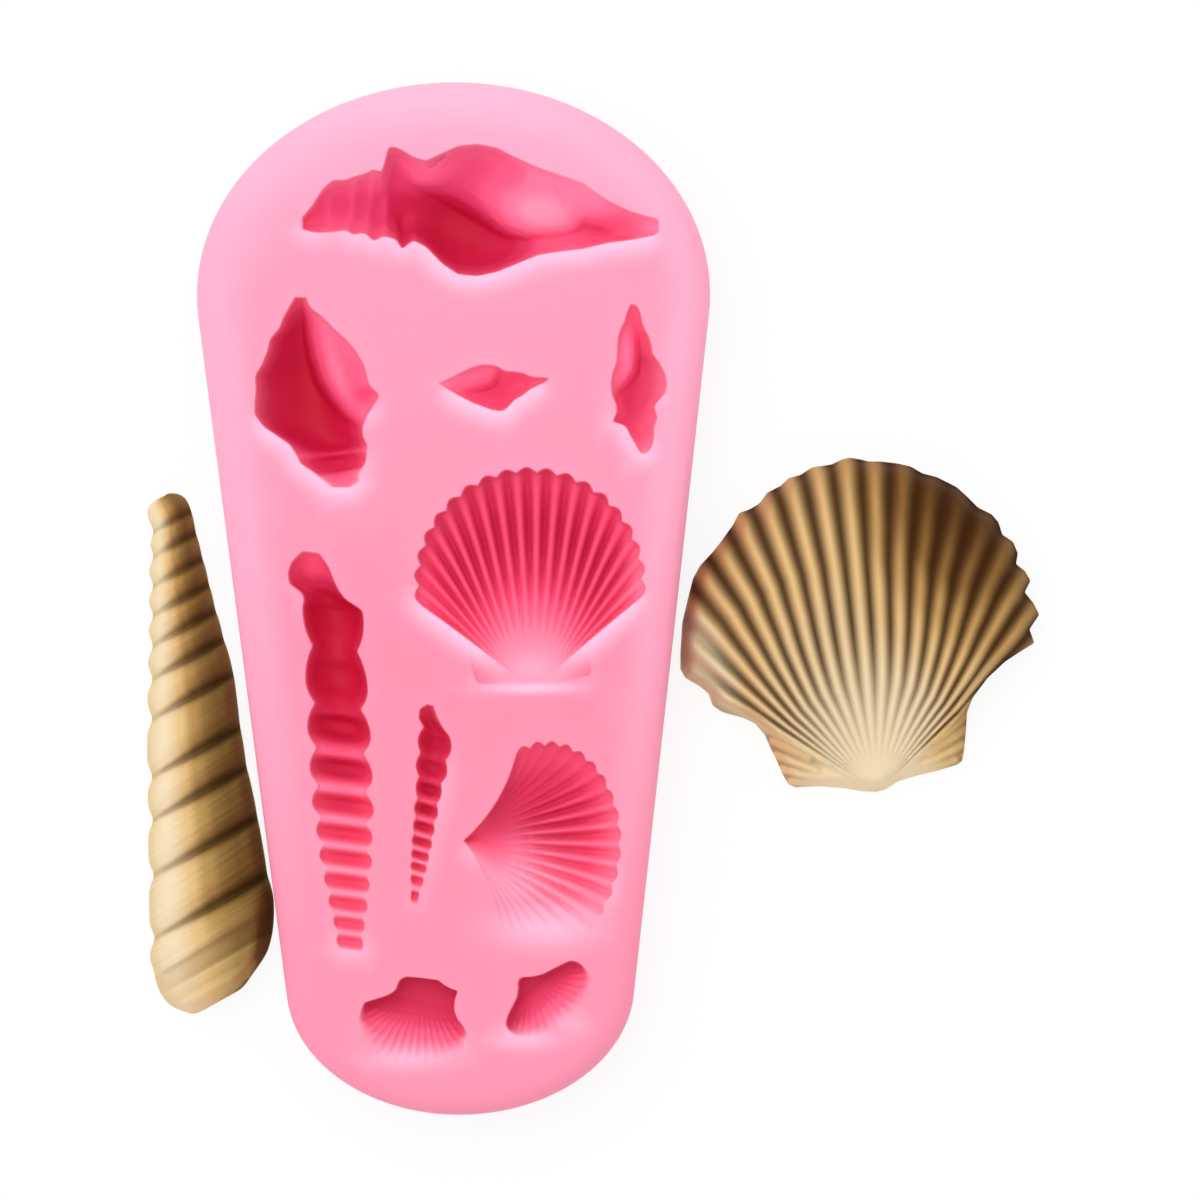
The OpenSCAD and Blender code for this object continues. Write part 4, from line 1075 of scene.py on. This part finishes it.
def scallop_casting(material):
    """A scallop with nineteen ribs that swing outward, and two ears with growth ridges."""
    outline = rounded_outline(CAST_SCALLOP_OUTLINE, CAST_RADIUS * 0.985, GRAIN, 0.16)
    spokes, turns = polar(outline[outline[:, 1] > 0.4 * CAST_RADIUS])
    order = np.argsort(turns)
    rim_turns = turns[order]
    rim_spokes = softened(spokes[order], 6)

    def shares(places):
        """Each place's share of the turn to the fan's side, and of the way from its hinge to its rim."""
        spoke, turn = polar(places)
        reach = read(CAST_RIB_SWING, spoke / CAST_RADIUS)
        aside = turn / CAST_SIDE_TURN
        for _ in range(CAST_ROUNDS):
            aside = (turn - reach * np.sin(math.pi * np.clip(aside, -1, 1))) / CAST_SIDE_TURN
        return aside, spoke / np.interp(turn, rim_turns, rim_spokes)

    def ribs(aside, s):
        """Wave of the ribs, 1 on a rib, and how far they have grown."""
        power = 0.55 + 0.5 * rise(s, 0.55, 0.45)
        wave = (0.5 + 0.5 * np.cos(2 * math.pi * CAST_HALF_RIBS * aside)) ** power
        return wave, rise(s, 0.03, 0.5) * (1 - rise(np.abs(aside), 1.0, 0.05))

    def ridge_distance(places):
        """Distance to the nearest growth ridge of the ears."""
        ridges = CAST_EAR_RIDGES.reshape(-1, 2, 2) * CAST_RADIUS
        return np.min([nearest(places, ridge)[0] for ridge in ridges], axis=0)

    def height(places):
        aside, s = shares(places)
        wave, grown = ribs(aside, s)
        side = 1 - 0.34 * np.clip(aside, -1, 1) ** 2
        body = CAST_SCALLOP_DOME * side * read(CAST_SCALLOP_PROFILE, s) - CAST_RIB_DEPTH * (1 - wave) * grown
        ear = CAST_EAR_HEIGHT + CAST_RIDGE_HEIGHT * bell(ridge_distance(places), 0.5)
        blend = rise(np.abs(aside), 1.0, 0.16)
        value = CAST_SCALLOP_EDGE + body * (1 - blend) + ear * blend
        return value * lip(places, outline, CAST_SCALLOP_LIP)

    def attributes(places):
        """Painted light and shade, painted shade in the grooves, and nearness to the slab."""
        aside, s = shares(places)
        wave, grown = ribs(aside, s)
        # Painted shade over the upper right, a painted highlight on the left rim, and painted light and
        # shade from hinge to rim
        shade = rise(aside, -0.1, 0.5) * rise(s, 0.35, 0.55) * (1 - 0.6 * rise(aside, 0.5, 0.35))
        left_rim_highlight = rise(-aside, 0.7, 0.2) * rise(s, 0.78, 0.15)
        # Painted light where the slab shades the casting; nearness to the slab also sets the painted cool
        # tint
        near = rise(-aside, 0.66, 0.26) * rise(s, 0.62, 0.26)
        tone = read(CAST_SCALLOP_SHADING, s) - 0.6 * shade + 0.3 * left_rim_highlight + 0.34 * near
        # Painted shade in the grooves between the ribs, and between the ears' growth ridges
        groove = (1 - wave) * grown * (1 - 0.7 * left_rim_highlight) * (1 - 0.4 * near)
        gap = ridge_distance(places)
        lines = rise(gap, 0.25, 0.5) * (1 - rise(gap, 0.9, 0.7))
        ears = rise(np.abs(aside), 1.03, 0.08) * rise(polar(places)[0] / CAST_RADIUS, 0.3, 0.14)
        return {"tone": tone - 0.5, "groove": np.maximum(groove, 0.5 * lines * ears), "near": 0.4 * near}

    points = []
    for spoke in np.arange(0.6, 1.9 * CAST_RADIUS, CAST_GRAIN):
        reach = read(CAST_RIB_SWING, spoke / CAST_RADIUS)
        pitch = spoke * math.radians(CAST_SIDE_TURN / CAST_HALF_RIBS)
        count = int(2 * CAST_ROW_REACH * CAST_HALF_RIBS * np.clip(round(pitch / 0.25), 2, RIB_POINTS)) + 1
        row = np.linspace(-CAST_ROW_REACH, CAST_ROW_REACH, count)
        turn = CAST_SIDE_TURN * row + reach * np.sin(math.pi * np.clip(row, -1, 1))
        points.append(spun(spoke, np.radians(turn)))
    ear_xs = np.arange(-1.0, 1.0, CAST_EAR_GRAIN) * CAST_RADIUS
    ear_grid = grid(ear_xs, np.arange(0, 0.9, CAST_EAR_GRAIN) * CAST_RADIUS)
    points.append(ear_grid[np.abs(shares(ear_grid)[0]) > 1.065])
    points += [outline + gap * inward(outline) for gap in WALL_STEPS + [0.45, 0.7]]
    middle = CAST_OFFSET * math.cos(math.radians(CAST_TILT))
    y = CAST_SCALLOP_ALONG * MOULD_LENGTH
    clear = (CAST_RADIUS * 1.012 + CAST_GAP) / side_cosine()
    x = side_x(y + middle) + clear + CAST_OFFSET * math.sin(math.radians(CAST_TILT))
    relief = Relief(outline, kept_within(np.vstack(points), outline, FAN_CLEAR), height)
    return cast_mesh("scallop_casting_clay", relief, attributes, (x, y), CAST_TILT, material)


def auger_casting(material):
    """An auger with a dozen leaning whorls, fine growth lines and a rounded lower end."""
    last = len(CAST_SUTURES) - 1

    def suture_distance(u):
        """Distance to the nearest suture in millimetres, and the count of whorls so far."""
        phase = np.interp(u, CAST_SUTURES, np.arange(last + 1))
        whorl = np.clip(np.floor(phase), 0, last - 1).astype(int)
        pitch = (CAST_SUTURES[whorl + 1] - CAST_SUTURES[whorl]) * CAST_AUGER_LENGTH
        part = phase - whorl
        return np.minimum(part, 1 - part) * pitch, phase

    def growth_lines(u, share):
        """Fine waves across the whorls, 0 at the tip."""
        phase = suture_distance(u)[1]
        lines = 0
        for pitch, lean, start, size in CAST_AUGER_LINES:
            turns = pitch * phase + lean * share + start * share ** 2
            lines = lines + size * np.sin(2 * math.pi * turns + start)
        return lines * rise(u, 0.25, 0.5)

    def surface(u, share):
        """Height added by the sutures, the hollows beside them and the growth lines."""
        gap = suture_distance(u)[0]
        deep = 0.35 + 1.1 * rise(u, -0.1, 0.6)
        groove = deep * bell(gap, 0.35 + 0.45 * rise(share, 0.1, 0.5)) * (u < CAST_SUTURES_END)
        hollow = 1.5 * (1 - rise(gap, 0, 3.0)) * rise(share, 0, 0.3) * rise(u, 0, 0.3)
        hollow = hollow * (u < CAST_HOLLOWS_END)
        return CAST_AUGER_EDGE - groove - hollow + 0.07 * growth_lines(u, share)

    rows = []
    for u in np.arange(0, CAST_AUGER_END[0, 0], 0.006):
        left = read(CAST_AUGER_LEFT, u) - 0.05 * (rise(suture_distance(u)[0], 0, 1.8) - 0.5)
        rows.append([u, left, read(CAST_AUGER_RIGHT, u), read(CAST_AUGER_HEIGHT, u)])
    size = CAST_AUGER_LENGTH, CAST_AUGER_WIDTH, CAST_AUGER_DOME
    shape = long_relief(np.vstack([rows, CAST_AUGER_END]), size, arch=0.6, slope=CAST_AUGER_SLOPE,
                        bump=surface, depth_round=3.0, edge=CAST_AUGER_LIP, corner_round=2.6)

    def attributes(places):
        """Painted light and shade, painted shade along the sutures, and nearness to the slab."""
        u, share = shape.shares(places)
        gap = suture_distance(u)[0]
        # Painted light and shade across the casting, lit on its left; the low end is lighter, and darker at
        # its right edge
        tone = read(CAST_AUGER_SHADING, share)
        low_end = rise(u, 0.84, 0.16)
        tone = tone + (0.86 - tone) * 0.6 * low_end + 0.04 * growth_lines(u, share)
        tone = tone - 0.5 * low_end * rise(share, 0.8, 0.12)
        # Painted shade along the sutures
        groove = bell(gap, 0.3 + 0.6 * rise(share, 0.1, 0.5)) * (0.25 + 0.55 * rise(share, 0.1, 0.4))
        groove = groove * (u < CAST_SUTURES_END) * (u > 0.03) * (1 - 0.6 * rise(u, 0.88, 0.03))
        # Nearness to the slab sets the painted cool tint against its pink light
        return {"tone": tone - 0.5, "groove": groove, "near": rise(share, 0.35, 0.5)}

    lean = math.radians(CAST_AUGER_TURN + 90)
    reach = CAST_AUGER_WIDEST * CAST_AUGER_WIDTH
    station, low = CAST_AUGER_END[1, :2]
    along = station * CAST_AUGER_LENGTH + CAST_AUGER_SLOPE * (CAST_AUGER_WIDEST - low) * CAST_AUGER_WIDTH
    y = CAST_AUGER_ALONG * MOULD_LENGTH
    side = side_x(y - along * math.cos(lean)) + CAST_GAP / side_cosine()
    x = -side - reach * math.cos(lean) - along * math.sin(lean)
    return cast_mesh("auger_casting_clay", shape, attributes, (x, y), CAST_AUGER_TURN, material)


def fill(tree, made, sockets):
    """Links a node's sockets to other nodes' sockets, or gives them plain values."""
    for key, value in sockets.items():
        if isinstance(value, bpy.types.NodeSocket):
            tree.links.new(value, made.inputs[key])
        else:
            made.inputs[key].default_value = value


def node(tree, kind, sockets=None, **settings):
    """A shader node with its settings, and its sockets linked or filled."""
    made = tree.nodes.new("ShaderNode" + kind)
    for key, value in settings.items():
        setattr(made, key, value)
    fill(tree, made, sockets or {})
    return made


def point_number(tree, name):
    """The socket of a number that the mesh holds for each point."""
    return node(tree, "Attribute", attribute_name=name).outputs["Fac"]


def sum_of(tree, operation, first, second):
    """The socket of a sum."""
    return node(tree, "Math", {0: first, 1: second}, operation=operation).outputs[0]


def linear(colour):
    """A screen colour of 0 to 255 as the shader's own."""
    parts = [c / 255 for c in colour]
    return [*[c / 12.92 if c <= 0.04045 else ((c + 0.055) / 1.055) ** 2.4 for c in parts], 1]


def ramp(tree, share, stops):
    """The socket of a colour by share, from stops of places and screen colours."""
    made = node(tree, "ValToRGB", {0: share})
    made.color_ramp.interpolation = "EASE"
    elements = made.color_ramp.elements
    while len(elements) < len(stops):
        elements.new(0.5)
    for element, (place, colour) in zip(elements, stops):
        element.position = place
        element.color = linear(colour)
    return made.outputs[0]


def mixed(tree, share, first, second, blend_type="MIX"):
    """The socket of two colours mixed by share."""
    sockets = {0: share, MIX_A: first, MIX_B: second}
    return node(tree, "Mix", sockets, data_type="RGBA", blend_type=blend_type).outputs[MIX_RESULT]


def new_material(name):
    """A material with its node tree and its shader."""
    material = bpy.data.materials.new(name)
    material.use_nodes = True
    return material, material.node_tree, material.node_tree.nodes["Principled BSDF"]


def silicone():
    """Matt pink silicone, with painted shade that deepens the red down in a cavity, painted glow beside one
    and painted shade that darkens it to the narrow end.
    """
    material, tree, shader = new_material("pink_silicone")
    end = MOULD_LENGTH / 2 * MM
    # Painted shade: the red deepens with each point's depth down in a cavity
    deep = sum_of(tree, "DIVIDE", point_number(tree, "depth"), SILICONE_FULL_DEPTH)
    place = node(tree, "TexCoord").outputs["Object"]
    y = node(tree, "SeparateXYZ", {0: place}).outputs["Y"]
    along = node(tree, "MapRange", {"Value": y, "From Min": -end, "From Max": end}).outputs[0]
    # Painted shade that darkens the colour towards the narrow end
    falloff_shade = ramp(tree, along, SILICONE_FALLOFF_SHADE)
    shaded_pink = mixed(tree, 1.0, ramp(tree, deep, SILICONE_PINK_AND_DEPTH_SHADE), falloff_shade, "MULTIPLY")
    fill(tree, shader, {
        # Painted glow beside the cavities and painted highlight along the edge
        "Base Color": mixed(tree, point_number(tree, "painted_light"), shaded_pink, linear(SILICONE_PAINTED_LIGHT)),
        "Roughness": 0.62,
        "Specular IOR Level": 0.22,
        "Subsurface Weight": 0.22,
        "Subsurface Radius": (1.0, 0.35, 0.4),
        "Subsurface Scale": 0.0015,
    })
    return material


def clay():
    """Unglazed clay with painted light and shade, painted shade in its grooves, and a faint grain."""
    material, tree, shader = new_material("tan_clay")
    # Painted light and shade from the mesh's number
    tone = sum_of(tree, "ADD", point_number(tree, "tone"), 0.5)
    # Painted shade in the grooves
    groove = sum_of(tree, "MULTIPLY", point_number(tree, "groove"), CLAY_GROOVE_SHADE_STRENGTH)
    dark = mixed(tree, groove, ramp(tree, tone, CLAY_LIT_AND_SHADED), linear(CLAY_GROOVE_SHADE))
    place = node(tree, "TexCoord").outputs["Object"]
    grain = node(tree, "TexNoise", {"Vector": place, "Scale": CLAY_GRAIN_SCALE, "Detail": 4.0}).outputs[0]
    bump = node(tree, "Bump", {"Height": grain, "Strength": 0.25, "Distance": CLAY_GRAIN_HEIGHT})
    fill(tree, shader, {
        # Painted cool tint near the slab, against the pink light it throws on the clay
        "Base Color": mixed(tree, point_number(tree, "near"), dark, linear(CLAY_COOL_AGAINST_PINK_LIGHT), "MULTIPLY"),
        "Normal": bump.outputs[0],
        "Roughness": 0.75,
        "Specular IOR Level": 0.06,
    })
    return material


def floor():
    """A plain white floor that keeps the object's soft shadow."""
    material, tree, shader = new_material("white_floor")
    fill(tree, shader, {"Base Color": linear(FLOOR_COLOUR), "Roughness": 1.0, "Specular IOR Level": 0.0})
    glow = node(tree, "Emission", {"Strength": 1.0}).outputs[0]
    seen = node(tree, "LightPath").outputs["Is Camera Ray"]
    share = sum_of(tree, "MULTIPLY", seen, FLOOR_GLOW)
    both = node(tree, "MixShader", {0: share, 1: shader.outputs[0], 2: glow}).outputs[0]
    fill(tree, tree.nodes["Material Output"], {"Surface": both})
    mesh = bpy.data.meshes.new("floor")
    signs = [(-1, -1), (1, -1), (1, 1), (-1, 1)]
    mesh.from_pydata([(x * FLOOR_HALF, y * FLOOR_HALF, FLOOR_LEVEL) for x, y in signs], [], [(0, 1, 2, 3)])
    mesh.materials.append(material)
    added("floor", mesh)


def camera():
    """Straight above, with a long lens, turned as the photograph is."""
    data = bpy.data.cameras.new("camera")
    made = added("camera", data)
    data.sensor_width = SENSOR_WIDTH
    data.lens = SENSOR_WIDTH * VIEW_DISTANCE / VIEW_WIDTH
    data.clip_end = VIEW_END
    made.location = (*VIEW_MIDDLE, MOULD_THICKNESS * MM + VIEW_DISTANCE)
    made.rotation_euler = (0, 0, math.radians(VIEW_TURN))
    bpy.context.scene.camera = made


def lights():
    """Soft light from beyond the slab's wide end and from the left, over an even fill."""
    world = bpy.data.worlds.new("fill")
    bpy.context.scene.world = world
    world.use_nodes = True
    background = world.node_tree.nodes["Background"]
    fill(world.node_tree, background, {"Color": (1, 1, 1, 1), "Strength": FILL_STRENGTH})
    data = bpy.data.lights.new("key", "AREA")
    data.shape = "DISK"
    data.size = KEY_SIZE
    data.energy = KEY_ENERGY
    key = added("key", data)
    key.location = KEY_PLACE
    key.rotation_euler = (-Vector(KEY_PLACE)).to_track_quat("-Z", "Y").to_euler()


pink = silicone()
tan = clay()
for name, material in (("mould", pink), ("scallop_casting", tan), ("auger_casting", tan)):
    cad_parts[name].data.materials.clear()
    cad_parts[name].data.materials.append(material)

mould = mould_mesh(pink)
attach(mould, "mould_body")
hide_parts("mould")

scallop = scallop_casting(tan)
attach(scallop, "scallop_body")
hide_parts("scallop_casting")

auger = auger_casting(tan)
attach(auger, "auger_body")
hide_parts("auger_casting")

floor()
camera()
lights()
bpy.context.scene.view_settings.view_transform = "Standard"
